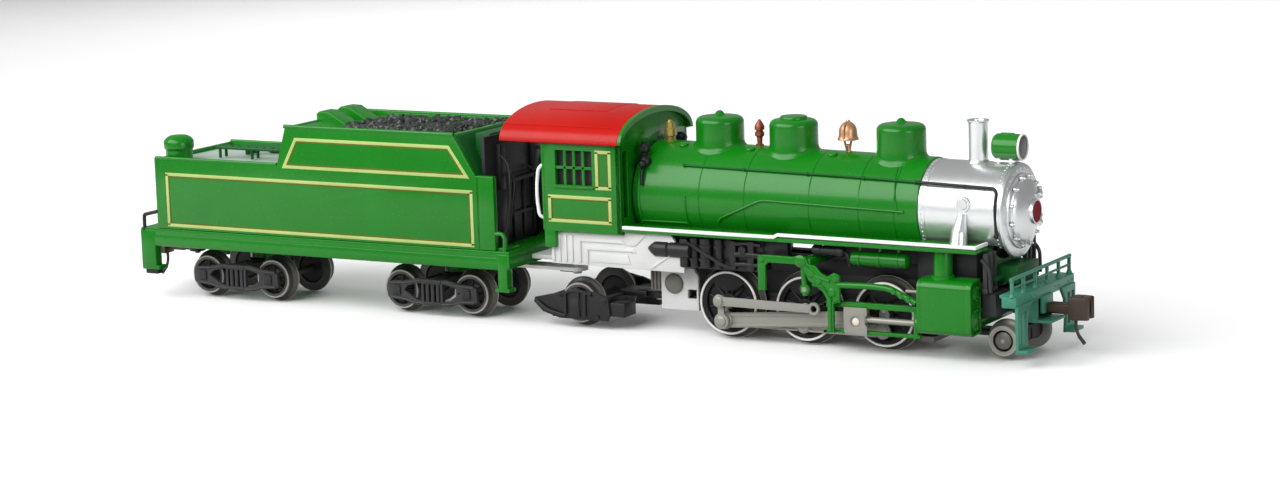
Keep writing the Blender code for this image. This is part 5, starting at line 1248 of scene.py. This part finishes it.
def coupler(name, pivot, reach, body, node):
    knuckle = Piece()

    def place(along, y, h):
        return pivot + reach * along, y, h

    knuckle.turned([(0.5, 4.98), (0.56, 4.94), (1.12, 4.94), (1.2, 5.02), (1.2, 6.16), (1.12, 6.24),
                    (0.5, 6.24)],
                   place(0, 0, 0), UP, 32)
    stations = sorted(pivot + reach * a for a in (0.9, 5.4))
    knuckle.box(stations, (-0.72, 0.72), (5.05, 6.15), 0.14)
    lip = sorted(pivot + reach * a for a in (2.2, 4.6))
    knuckle.box(lip, (-0.4, 0.4), (4.86, 6.34), 0.1)
    head = [(5.0, -1.3), (6.3, -1.3), (7.5, -0.95), (7.55, -0.5), (6.4, -0.42), (6.3, 0.48), (7.35, 0.62),
            (7.55, 1.1),
            (6.6, 1.32), (5.3, 1.3), (4.9, 0.7), (4.9, -0.7)]
    turned_head = [(pivot + reach * a - ORIGIN_STATION, y) for a, y in head]
    knuckle.plate(turned_head, Matrix.Translation((0, 0, 5.8 + FLANGE)), 2.9, bevel=0.16)
    knuckle.rod(place(7.1, 0.95, 4.5), place(7.1, 0.95, 7.15), 0.36, sides=20)
    pin = [place(5.6, 0.0, 4.7), place(5.5, 0.0, 3.4), place(5.8, 0.0, 2.3), place(6.7, 0.0, 1.25)]
    knuckle.tube(pin, 0.21, corner=1.0, sides=12)
    knuckle.done(f"{name}_knuckle", COUPLER, node, body=body)
    tip = Piece()
    tip.tube([place(5.88, 0.0, 2.2), place(6.72, 0.0, 1.2)], 0.24, sides=12)
    tip.done(f"{name}_trip_pin", GREY, body=body, slot="coupler_metal")


def pilot_truck():
    truck = Piece()
    centre = 20.0
    truck.turned([(0.75, 1.62), (1.5, 1.62), (1.6, 1.72), (1.6, 2.28), (1.5, 2.38), (0.75, 2.38)],
                 (centre, 0, 0),
                 UP, 36)
    truck.box((21.2, 26.6), (-1.5, 1.5), (1.66, 2.34), 0.12)
    for _ in both_sides(truck):
        truck.box((26.2, 27.0), (0.2, 2.85), (1.25, 3.25), 0.1)
        truck.box((28.4, 29.15), (0.2, 2.85), (1.25, 3.25), 0.1)
        truck.box((26.2, 29.15), (2.2, 2.85), (2.7, 3.28), 0.1)
    truck.box((26.25, 29.1), (-2.8, 2.8), (2.75, 3.25), 0.1)
    truck.done("pilot_truck_fine", BLACKENED_AND_SHADE, "pilot_truck_frame", body="pilot_truck")
    small_wheels("pilot_wheel", "pilot_wheels", PILOT_AXLE, PILOT_RADIUS, "pilot_wheelset", RODS, BLACKENED_AND_SHADE, 5.72)
    bosses = Piece()
    for _ in both_sides(bosses):
        bosses.turned([(0.0, 5.68), (0.85, 5.66), (1.1, 5.5), (1.14, 5.1), (0.0, 5.1)],
                      (PILOT_AXLE, 0, PILOT_RADIUS),
                      OUT, 32)
    bosses.done("pilot_wheel_bosses", LEAD, body="pilot_wheels", slot="rod_metal")


def journal(piece, s, y, h):
    piece.box((s - 0.85, s + 0.85), ((y - 0.4), (y + 0.28)), (h - 0.8, h + 0.85), 0.16)
    piece.box((s - 0.62, s + 0.62), ((y + 0.2), (y + 0.5)), (h - 0.5, h + 0.62), 0.12)
    piece.rod((s - 0.55, (y + 0.38), h + 0.72), (s + 0.55, (y + 0.38), h + 0.72), 0.14, sides=10)


def trailing_truck():
    truck = Piece()
    pivot = -24.6
    truck.turned([(0.75, 3.3), (1.65, 3.3), (1.75, 3.4), (1.75, 4.1), (1.65, 4.2), (0.75, 4.2)],
                 (pivot, 0, 0),
                 UP, 36)
    truck.box((-30.0, -25.9), (-1.6, 1.6), (3.35, 4.15), 0.14)
    truck.box((-30.25, -29.25), (-6.7, 6.7), (2.95, 3.75), 0.12)
    truck.box((-40.1, -39.2), (-6.4, 6.4), (2.5, 3.1), 0.12)
    for _ in both_sides(truck):
        bottom = [(-40.6, 2.7), (-39.2, 1.4), (-36.6, 0.68), (-29.2, 0.68), (-28.7, 1.6)]
        top = [(-29.0, 3.8), (-31.0, 4.5), (-33.0, 4.5), (-34.0, 4.95), (-35.0, 4.5), (-36.2, 4.1),
               (-38.2, 3.8),
               (-40.4, 3.3)]
        truck.side_plate([*bottom, *top], (6.05, 6.6), bevel=0.08)
        truck.box((-34.7, -33.3), (6.5, 6.85), (1.0, 4.6), 0.1)
        for x in (-1.5, 1.5):
            truck.box((TRAILING_AXLE + x - 0.2, TRAILING_AXLE + x + 0.2), (6.5, 6.9), (1.2, 4.3), 0.06)
        truck.tube([(-36.4, 6.75, 3.9), (-34.0, 6.8, 4.75), (-31.4, 6.75, 4.2)], 0.22, corner=1.4)
        truck.tube([(-40.0, 6.7, 2.9), (-38.4, 6.75, 1.7), (-35.6, 6.75, 1.1)], 0.2, corner=0.8)
        truck.box((-30.3, -26.6), (3.2, 6.3), (1.3, 3.2), 0.15)
        for s in (-37.4, -36.4, -30.6):
            truck.rod((s, 6.5, 1.15), (s, 6.85, 1.15), 0.28, sides=6)
    truck.done("trailing_truck_fine", BLACK, "trailing_truck_frame", body="trailing_truck")
    boxes = Piece()
    for _ in both_sides(boxes):
        journal(boxes, TRAILING_AXLE, 6.45, SMALL_RADIUS)
    boxes.done("trailing_journals", BLACKENED_AND_SHADE, body="trailing_truck")
    small_wheels("trailing_wheel", "trailing_wheels", TRAILING_AXLE, SMALL_RADIUS, "trailing_wheelset",
                 DARK_TYRE,
                 BLACKENED_AND_SHADE, 6.0)


# ---- tender ----

def tender_shell():
    rear, front = TENDER
    outer, wall = TENDER_HALF, 0.7
    shell = Piece()
    tank_top = TENDER_DECK
    foot = tank_top - 0.3
    for _ in both_sides(shell):
        ys = ((outer - wall), outer)
        outline = [(rear, TENDER_FLOOR), (front, TENDER_FLOOR), (front, tank_top), (-47.6, tank_top),
                   (-51.0, BUNKER_TOP), (-78.7, BUNKER_TOP), (-80.4, tank_top), (rear, tank_top)]
        shell.side_plate(outline, ys, bevel=0.14)
        shell.box((-47.6, -44.75), (8.25, outer), (TENDER_FLOOR, tank_top + 0.05), 0.16)
        shell.tube([(-78.9, (outer - 0.2), BUNKER_TOP + 0.05), (-50.9, (outer - 0.2), BUNKER_TOP + 0.05)],
                   0.28, sides=14)
        shell.tube([(rear + 0.2, (outer - 0.2), tank_top + 0.05),
                    (-80.5, (outer - 0.2), tank_top + 0.05)], 0.26, sides=14)
    shell.box((rear, rear + wall), (-outer + 0.3, outer - 0.3), (TENDER_FLOOR, tank_top), 0.14)
    shell.box((front - wall, front), (-outer + 0.3, outer - 0.3), (TENDER_FLOOR, tank_top - 0.3), 0.14)
    shell.walled([(s, [(y, h) for y, h in ((-outer + 0.4, BUNKER_TOP - 0.5), (0, BUNKER_TOP - 0.5),
                                           (outer - 0.4, BUNKER_TOP - 0.5))],
                   [(-outer + 0.4, BUNKER_TOP - 1.1), (0, BUNKER_TOP - 1.1), (outer - 0.4, BUNKER_TOP - 1.1)])
                  for s in (-78.5, -51.3)])
    shell.side_plate([(-80.5, foot), (-79.9, foot), (-78.1, BUNKER_TOP), (-78.8, BUNKER_TOP)],
                     (-outer + 0.3, outer - 0.3), bevel=0.08)
    shell.side_plate([(-51.7, BUNKER_TOP), (-51.0, BUNKER_TOP), (-47.7, foot), (-48.4, foot)],
                     (-outer + 0.3, outer - 0.3), bevel=0.08)
    shell.side_plate([(-78.8, BUNKER_TOP), (-78.8, BUNKER_TOP - 0.5), (-71.4, BUNKER_TOP - 1.5),
                      (-71.4, BUNKER_TOP - 1.0)],
                     (-outer + 0.4, outer - 0.4), bevel=0.08)
    for low, high in ((-1.6, 1.4), (3.6, 6.8)):
        shell.side_plate([(-78.6, BUNKER_TOP - 0.6), (-78.6, BUNKER_TOP + 0.9), (-78.1, BUNKER_TOP + 1.25),
                          (-76.6, BUNKER_TOP + 1.2), (-72.4, BUNKER_TOP - 1.2)], (low, high), bevel=0.14)
    deck = tank_top - 0.6
    shell.turned([(0.0, 22.85), (1.25, 22.8), (1.7, 22.55), (2.05, 22.2), (2.16, 21.9), (2.14, 21.1),
                  (1.98, 20.9),
                  (1.92, 20.6), (1.92, deck), (0.0, deck)], (-99.4, -6.4, 0), UP, 48)
    for _ in both_sides(shell):
        inset = outer - 0.02
        for i in range(9):
            shell.rivet((rear + 0.42, inset, TENDER_FLOOR + 0.7 + 1.1 * i), OUT, 0.1)
            shell.rivet((front - 0.42, inset, TENDER_FLOOR + 0.7 + 1.1 * i), OUT, 0.1)
    for i in range(15):
        shell.rivet((rear, -8.2 + 16.4 * i / 14, tank_top - 0.6), BACK, 0.12)
        shell.rivet((rear, -8.2 + 16.4 * i / 14, TENDER_FLOOR + 0.5), BACK, 0.12)
    shell.done("tender_body", GREEN, "tender_shell", body="tender")

    # The deck's pale colour is a painted reflection on the flat top
    floor = Piece()
    floor.box((rear + 0.3, -80.2), (-outer + 0.4, outer - 0.4), (tank_top - 1.1, tank_top - 0.55), 0.08)
    floor.done("tender_deck", DECK, body="tender")
    # A darker green sheet laid over the bunker's front slope, with a block before it: painted shade on the slope
    bulkhead = Piece()
    bulkhead.side_plate([(-51.15, BUNKER_TOP - 0.3), (-50.7, BUNKER_TOP - 0.2), (-47.55, foot),
                         (-48.0, foot)],
                        (-outer + 0.75, outer - 0.75), bevel=0.06)
    bulkhead.box((-49.6, -47.25), (-5.6, 5.6), (tank_top - 0.6, BUNKER_TOP - 0.1), 0.16)
    bulkhead.done("tender_bulkhead_shade", DEEP_GREEN, body="tender")
    tools = Piece()
    for y in (-3.4, -2.0):
        tools.tube([(-95.0, y, deck + 1.7), (-82.6, y, deck + 1.7)], 0.24, sides=12)
        for s in (-94.4, -88.8, -83.2):
            tools.rod((s, y, deck + 0.2), (s, y, deck + 1.7), 0.22, sides=12)
    for i in range(9):
        s = -94.6 + 1.45 * i
        tools.tube([(s, -3.4, deck + 1.7), (s, -2.0, deck + 1.7)], 0.2, sides=10)
    tools.tube([(-93.5, 0.6, deck + 1.3), (-83.6, 1.3, deck + 1.5)], 0.24, sides=12)
    tools.tube([(-93.0, 1.9, deck + 1.3), (-82.6, 2.6, deck + 1.5)], 0.2, sides=12)
    tools.box((-84.9, -82.2), (0.5, 2.1), (deck + 1.1, deck + 1.6), 0.1)
    for s in (-92.4, -84.0):
        tools.box((s - 0.3, s + 0.3), (0.2, 3.0), (deck + 0.2, deck + 1.3), 0.08)
    tools.turned([(0.0, 0.5), (1.5, 0.5), (1.7, 0.35), (1.7, -0.1), (0.0, -0.1)], (-90.0, 5.2, deck + 0.2),
                 UP, 36)
    tools.done("deck_tools", DEEP_GREEN, body="tender", slot="black_plastic")

    gold, olive = Piece(), Piece()
    for _ in both_sides(gold, olive):
        frame_strip(gold, -99.95, -48.1, 10.05, 17.8, outer, LINING, 0.035)
        frame_strip(olive, -99.95 + LINING, -48.1 - LINING, 10.05 + LINING, 17.8 - LINING, outer, 0.22, 0.025)
        for piece, inset, width, proud in ((gold, 0.0, LINING, 0.035), (olive, LINING, 0.22, 0.025)):
            outline = [(-79.5, 19.4), (-48.5, 19.4), (-51.6, 23.75), (-77.1, 23.75)]
            ring = [shrunk(outline, inset), shrunk(outline, inset + width)]
            piece.side_plate(ring[0], ((outer - 0.06), (outer + proud)), [ring[1]], 0.012)
    gold.done("tender_lining", GOLD, body="tender")
    olive.done("tender_lining_shadow", OLIVE, body="tender")


def shrunk(points, inset):
    """The outline moved inwards by the same amount along each side."""
    if not inset:
        return points
    moved = []
    count = len(points)
    lines = []
    for a, b in zip(points, [*points[1:], points[0]]):
        a, b = Vector(a), Vector(b)
        along = (b - a).normalized()
        normal = Vector((-along.y, along.x))
        lines.append((a + normal * inset, along))
    for i in range(count):
        (p, d), (q, e) = lines[i - 1], lines[i]
        t = ((q - p).x * e.y - (q - p).y * e.x) / (d.x * e.y - d.y * e.x)
        moved.append(tuple(p + d * t))
    return moved


def coal():
    """Loose lumps heaped over the bunker, on a dark bed."""
    bed = Piece()
    length, half = 20.0, TENDER_HALF - 0.9
    part = bmesh.new()
    across, along = 26, 34
    grid = []
    for i in range(along + 1):
        row = []
        for j in range(across + 1):
            s = -71.7 + length * i / along
            y = -half + 2 * half * j / across
            rim = i in (0, along) or j in (0, across)
            rise = 0.0 if rim else 0.3 * (1 - (y / half) ** 2) + 0.3 * noise.noise(Vector((s * 0.9, y * 0.9,
                    2.0)))
            row.append(part.verts.new(spot(s, y, BUNKER_TOP - 0.7 + rise)))
        grid.append(row)
    for i in range(along):
        for j in range(across):
            part.faces.new((grid[i][j], grid[i + 1][j], grid[i + 1][j + 1], grid[i][j + 1]))
    made = bmesh.ops.extrude_face_region(part, geom=part.faces[:])
    for item in made["geom"]:
        if isinstance(item, bmesh.types.BMVert):
            item.co.z = BUNKER_TOP - 1.6 + FLANGE
    bed.take(part)
    rng = np.random.default_rng(5)
    for i in range(620):
        s = -71.3 + (length - 0.8) * rng.random()
        y = (half - 0.45) * (2 * rng.random() - 1)
        size = 0.4 + 0.36 * rng.random() ** 2
        rise = 0.3 * (1 - (y / half) ** 2) + 0.3 * noise.noise(Vector((s * 0.9, y * 0.9, 2.0)))
        lump = bmesh.new()
        bmesh.ops.create_icosphere(lump, subdivisions=1, radius=size)
        for vert in lump.verts:
            vert.co *= 0.72 + 0.5 * rng.random()
            vert.co.z *= 0.8
        turn = Matrix.Rotation(6.28 * rng.random(), 4, "Z") @ Matrix.Rotation(3.14 * rng.random(), 4, "X")
        place = Matrix.Translation(spot(s, y, BUNKER_TOP - 0.65 + (rise + 0.25 * size)))
        bmesh.ops.transform(lump, matrix=place @ turn, verts=lump.verts)
        bed.take(lump)
    bed.done("coal_heap", COAL, "coal_load", body="tender", sharp=18)


def tender_frame():
    frame_piece = Piece()
    rear, front = SILL
    half = SILL_HALF
    frame_piece.box((rear + 0.05, front - 0.05), (-half + 0.1, half - 0.1), (8.6, TENDER_FLOOR - 0.05), 0.14)
    for _ in both_sides(frame_piece):
        frame_piece.box((rear + 0.3, front - 0.3), ((half - 0.9), (half - 0.06)), (SILL_BOTTOM + 0.5, 8.8),
                        0.14)
        frame_piece.box((rear + 0.02, -102.4), ((half - 1.5), half), (3.7, 9.4), 0.2)
        frame_piece.box((rear + 0.1, -101.9), ((half - 1.8), (half - 0.02)), (3.6, 4.2), 0.12)
        frame_piece.box((-44.5, -43.0), ((half - 1.5), half), (4.2, 9.3), 0.18)
        frame_piece.box((-45.0, -42.75), ((half - 1.8), (half - 0.02)), (4.1, 4.6), 0.12)
        for i in range(17):
            frame_piece.rivet((-100.5 + 3.35 * i, (half - 0.06), 8.35), OUT, 0.11)
        frame_piece.tube([(-43.5, 8.9, 8.9), (-43.3, 8.95, 11.6), (-43.9, 8.9, 12.1),
                          (-44.8, 8.9, 12.0)], 0.3, corner=0.6, sides=14)
        frame_piece.box((-46.6, -43.4), (5.2, 8.6), (TENDER_FLOOR - 0.1, TENDER_FLOOR + 0.35), 0.08)
    frame_piece.box((rear, rear + 1.0), (-half + 0.05, half - 0.05), (SILL_BOTTOM + 0.1, 8.9), 0.16)
    frame_piece.box((front - 1.0, front), (-half + 0.05, half - 0.05), (SILL_BOTTOM + 0.7, 8.9), 0.16)
    frame_piece.box((-104.2, -99.5), (-2.15, 2.15), (6.4, 8.9), 0.14)
    frame_piece.rod((-102.0, 0, 6.6), (-102.0, 0, 4.6), 0.42)
    frame_piece.rod((-49.0, 0, 8.8), (-49.0, 0, 5.9), 0.6)
    for s in TRUCKS.values():
        frame_piece.rod((s, 0, 8.8), (s, 0, 4.8), 1.8)
        frame_piece.rod((s, 0, 8.8), (s, 0, 3.4), 0.7)
        frame_piece.box((s - 1.6, s + 1.6), (-8.6, 8.6), (7.4, 8.7), 0.14)
    frame_piece.done("tender_sills", GREEN, "tender_underframe", body="tender")

    weight = Piece()
    weight.box((-100.8, -48.1), (-8.2, 8.2), (TENDER_FLOOR - 0.3, TENDER_DECK - 1.9), 0.2)
    weight.done("tender_weight", LEAD, body="tender")

    rails = Piece()
    for _ in both_sides(rails):
        rails.tube([(-101.8, 9.0, 12.1), (-104.3, 9.0, 11.5), (-104.35, 9.0, 9.2)], 0.27,
                   corner=0.3, sides=12)
        rails.ball((-104.35, 9.0, 9.4), 0.34, 6, 12)
        rails.box((-104.5, -102.3), (7.7, 9.1), (2.95, 3.75), 0.16)
    rails.done("rear_handrails", BLACK, body="tender")

    # The wide near-black plates across the tender front are painted shade for the dark space behind the cab; the
    # struts, posts, boxes and hoses on them are fittings
    front_shade_and_fittings = Piece()
    front_shade_and_fittings.box((-47.2, -46.6), (-8.1, 8.1), (TENDER_FLOOR, 19.2), 0.1)
    for y in (-3.9, -1.3, 1.3, 3.9):
        front_shade_and_fittings.box((-46.7, -46.35), (y - 0.25, y + 0.25), (TENDER_FLOOR + 0.4, 18.4), 0.06)
    front_shade_and_fittings.box((-46.75, -46.2), (-4.4, 4.4), (18.0, 18.6), 0.1)
    front_shade_and_fittings.box((-46.75, -46.2), (-4.4, 4.4), (13.4, 13.9), 0.1)
    front_shade_and_fittings.box((-47.3, -46.7), (-7.9, 7.9), (19.0, 24.9), 0.14)
    for _ in both_sides(front_shade_and_fittings):
        front_shade_and_fittings.box((-46.6, -45.2), (4.9, 7.9), (TENDER_FLOOR + 0.3, 17.5), 0.2)
        front_shade_and_fittings.box((-46.9, -46.1), (3.6, 5.0), (17.0, 23.6), 0.16)
        front_shade_and_fittings.tube([(-46.8, 4.6, 22.4), (-44.6, 5.2, 21.0), (-43.9, 6.2, 16.5),
                         (-44.2, 7.0, 12.6), (-45.3, 7.2, 10.6)], 0.22, corner=1.6)
        front_shade_and_fittings.tube([(-46.4, 2.4, 19.6), (-44.8, 3.4, 18.4), (-44.3, 5.4, 13.8),
                         (-45.2, 6.2, 11.0)], 0.2, corner=1.4)
    front_shade_and_fittings.done("tender_front_shade_and_fittings", BLACKENED_AND_SHADE, body="tender")


def tender_trucks():
    for place, s in TRUCKS.items():
        body = f"tender_truck_{place}"
        truck = Piece()
        truck.box((s - 1.3, s + 1.3), (-6.1, 6.1), (3.6, 4.5), 0.14)
        truck.turned([(0.85, 3.5), (1.9, 3.5), (2.0, 3.6), (2.0, 4.54), (1.9, 4.62), (0.85, 4.62)], (s, 0, 0),
                     UP, 40)
        foot = [(7.35, 1.95), (6.85, 1.6), (4.4, 1.45), (3.0, 0.98)]
        top = [(2.6, 4.65), (4.4, 4.22), (6.6, 4.1), (7.25, 3.7)]
        outline = foot + [(-x, h) for x, h in foot[::-1]] + [(-x, h) for x, h in top[::-1]] + top
        window = [(1.75, 1.55), (2.7, 1.7), (4.55, 2.9), (4.0, 3.55), (2.3, 4.0), (1.75, 4.0)]
        for _ in both_sides(truck):
            holes = [[(s + sign * x, h) for x, h in window] for sign in (1, -1)]
            middle = [(s - 1.35, 1.5), (s + 1.35, 1.5), (s + 1.35, 3.9), (s - 1.35, 3.9)]
            truck.side_plate([(s + x, h) for x, h in outline], (6.1, 6.75), [*holes, middle], 0.09)
            for x in (-0.85, 0.0, 0.85):
                truck.rod((s + x, 6.45, 1.4), (s + x, 6.45, 4.0), 0.3, sides=16)
            truck.box((s - 1.4, s + 1.4), (5.75, 6.0), (1.45, 4.0), 0.06)
            truck.box((s - 1.6, s + 1.6), (6.6, 6.95), (4.1, 4.62), 0.1)
            truck.box((s - 1.5, s + 1.5), (6.6, 6.92), (1.1, 1.5), 0.08)
            for sign in (-1, 1):
                edge = [(s + sign * 1.6, 4.45), (s + sign * 4.4, 3.95), (s + sign * 6.9, 3.85)]
                truck.tube([(x, 6.75, h) for x, h in edge], 0.15, corner=0.8, sides=8)
                lower = [(s + sign * 1.5, 1.25), (s + sign * 3.2, 1.3), (s + sign * 4.7, 1.75),
                         (s + sign * 6.9, 1.85)]
                truck.tube([(x, 6.75, h) for x, h in lower], 0.15, corner=0.8, sides=8)
                for x in (3.3, 4.7):
                    truck.rivet((s + sign * x, 6.74, 4.05), OUT, 0.15)
        truck.done(f"tender_truck_side_{place}", GREY, f"tender_truck_frame_{place}", body=body)
        boxes = Piece()
        for _ in both_sides(boxes):
            for sign in (-1, 1):
                journal(boxes, s + sign * TRUCK_HALF_BASE, 6.5, SMALL_RADIUS)
        boxes.done(f"tender_journals_{place}", BLACKENED_AND_SHADE, body=body)
        for end, sign in (("a", 1), ("b", -1)):
            small_wheels(f"tender_wheel_{place}_{end}", f"tender_wheels_{place}_{end}",
                         s + sign * TRUCK_HALF_BASE,
                         SMALL_RADIUS, f"tender_wheelset_{place}_{end}", DARK_TYRE, BLACKENED_AND_SHADE, 6.0)


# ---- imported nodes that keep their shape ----

KEPT = {
    "keeper_plate": LEAD, "axle_gear": NYLON, "idler_gear": NYLON, "worm_shaft": RODS, "drawbar": TYRE,
    "driver_axle_rear": RODS, "driver_axle_middle": RODS, "driver_axle_front": RODS,
}


def kept_nodes():
    for name, look in KEPT.items():
        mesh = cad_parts[name].data
        if mesh.materials:
            for index in range(len(mesh.materials)):
                mesh.materials[index] = look
        else:
            mesh.materials.append(look)


# ---- camera, light and floor ----

def camera():
    azimuth, elevation, roll = radians(30.12), radians(9.74), radians(-1.79)
    back = Vector((sin(azimuth) * cos(elevation), -cos(azimuth) * cos(elevation),
                   sin(elevation)))
    level = Vector((cos(azimuth), sin(azimuth), 0))
    upright = back.cross(level)
    right = level * cos(roll) + upright * sin(roll)
    up = upright * cos(roll) - level * sin(roll)
    data = bpy.data.cameras.new("camera")
    data.lens = 93.63
    data.clip_start = 0.01
    made = bpy.data.objects.new("camera", data)
    place = Matrix((right, up, back)).transposed().to_4x4()
    made.matrix_world = Matrix.Translation(Vector((229.719, -381.177, 85.965)) * MM) @ place
    bpy.context.scene.collection.objects.link(made)
    bpy.context.scene.camera = made


def softbox(name, place, target, size, watts, seen=True):
    """A lamp panel. When it is not seen, shiny surfaces take its light without mirroring the panel."""
    data = bpy.data.lights.new(name, "AREA")
    data.shape = "RECTANGLE"
    data.size, data.size_y = size
    data.energy = watts
    made = bpy.data.objects.new(name, data)
    made.matrix_world = Matrix.Translation(place) @ facing(Vector(place) - Vector(target))
    made.visible_glossy = seen
    bpy.context.scene.collection.objects.link(made)


def studio():
    bpy.context.scene.view_settings.view_transform = "Standard"
    world = bpy.data.worlds.new("pale_room")
    bpy.context.scene.world = world
    world.use_nodes = True
    background = world.node_tree.nodes["Background"]
    background.inputs["Color"].default_value = (1.0, 1.0, 1.0, 1.0)
    background.inputs["Strength"].default_value = 0.33
    target = (0.0, 0.0, 0.014)
    softbox("key", (-0.14, -0.28, 0.26), target, (0.62, 0.3), 2.85)
    softbox("front", (0.42, -0.2, 0.12), (0.05, 0, 0.014), (0.2, 0.16), 0.45)
    softbox("top", (-0.02, 0.12, 0.42), target, (0.5, 0.2), 0.35, seen=False)
    softbox("back", (-0.1, 0.42, 0.2), target, (0.5, 0.2), 0.8, seen=False)

    floor = bpy.data.meshes.new("floor")
    shape = bmesh.new()
    bmesh.ops.create_grid(shape, x_segments=1, y_segments=1, size=3.0)
    shape.to_mesh(floor)
    shape.free()
    made = bpy.data.objects.new("floor", floor)
    floor.materials.append(finish_of("floor_white", (0.93, 0.93, 0.93), 0.7, tint=0.01, clouds=8.0,
                                     bump=0.0))
    made.visible_diffuse = False
    bpy.context.scene.collection.objects.link(made)


camera()
boiler()
smokebox()
stack_and_fittings()
handrails()
running_boards()
cab()
firebox()
machinery()
cylinders()
driving_wheels()
motion()
valve_gear()
pilot()
coupler("front_coupler", 29.65, 1, "front_coupler", "front_coupler")
coupler("rear_coupler", -102.0, -1, "rear_coupler", "rear_coupler")
pilot_truck()
trailing_truck()
tender_shell()
coal()
tender_frame()
tender_trucks()
kept_nodes()
studio()
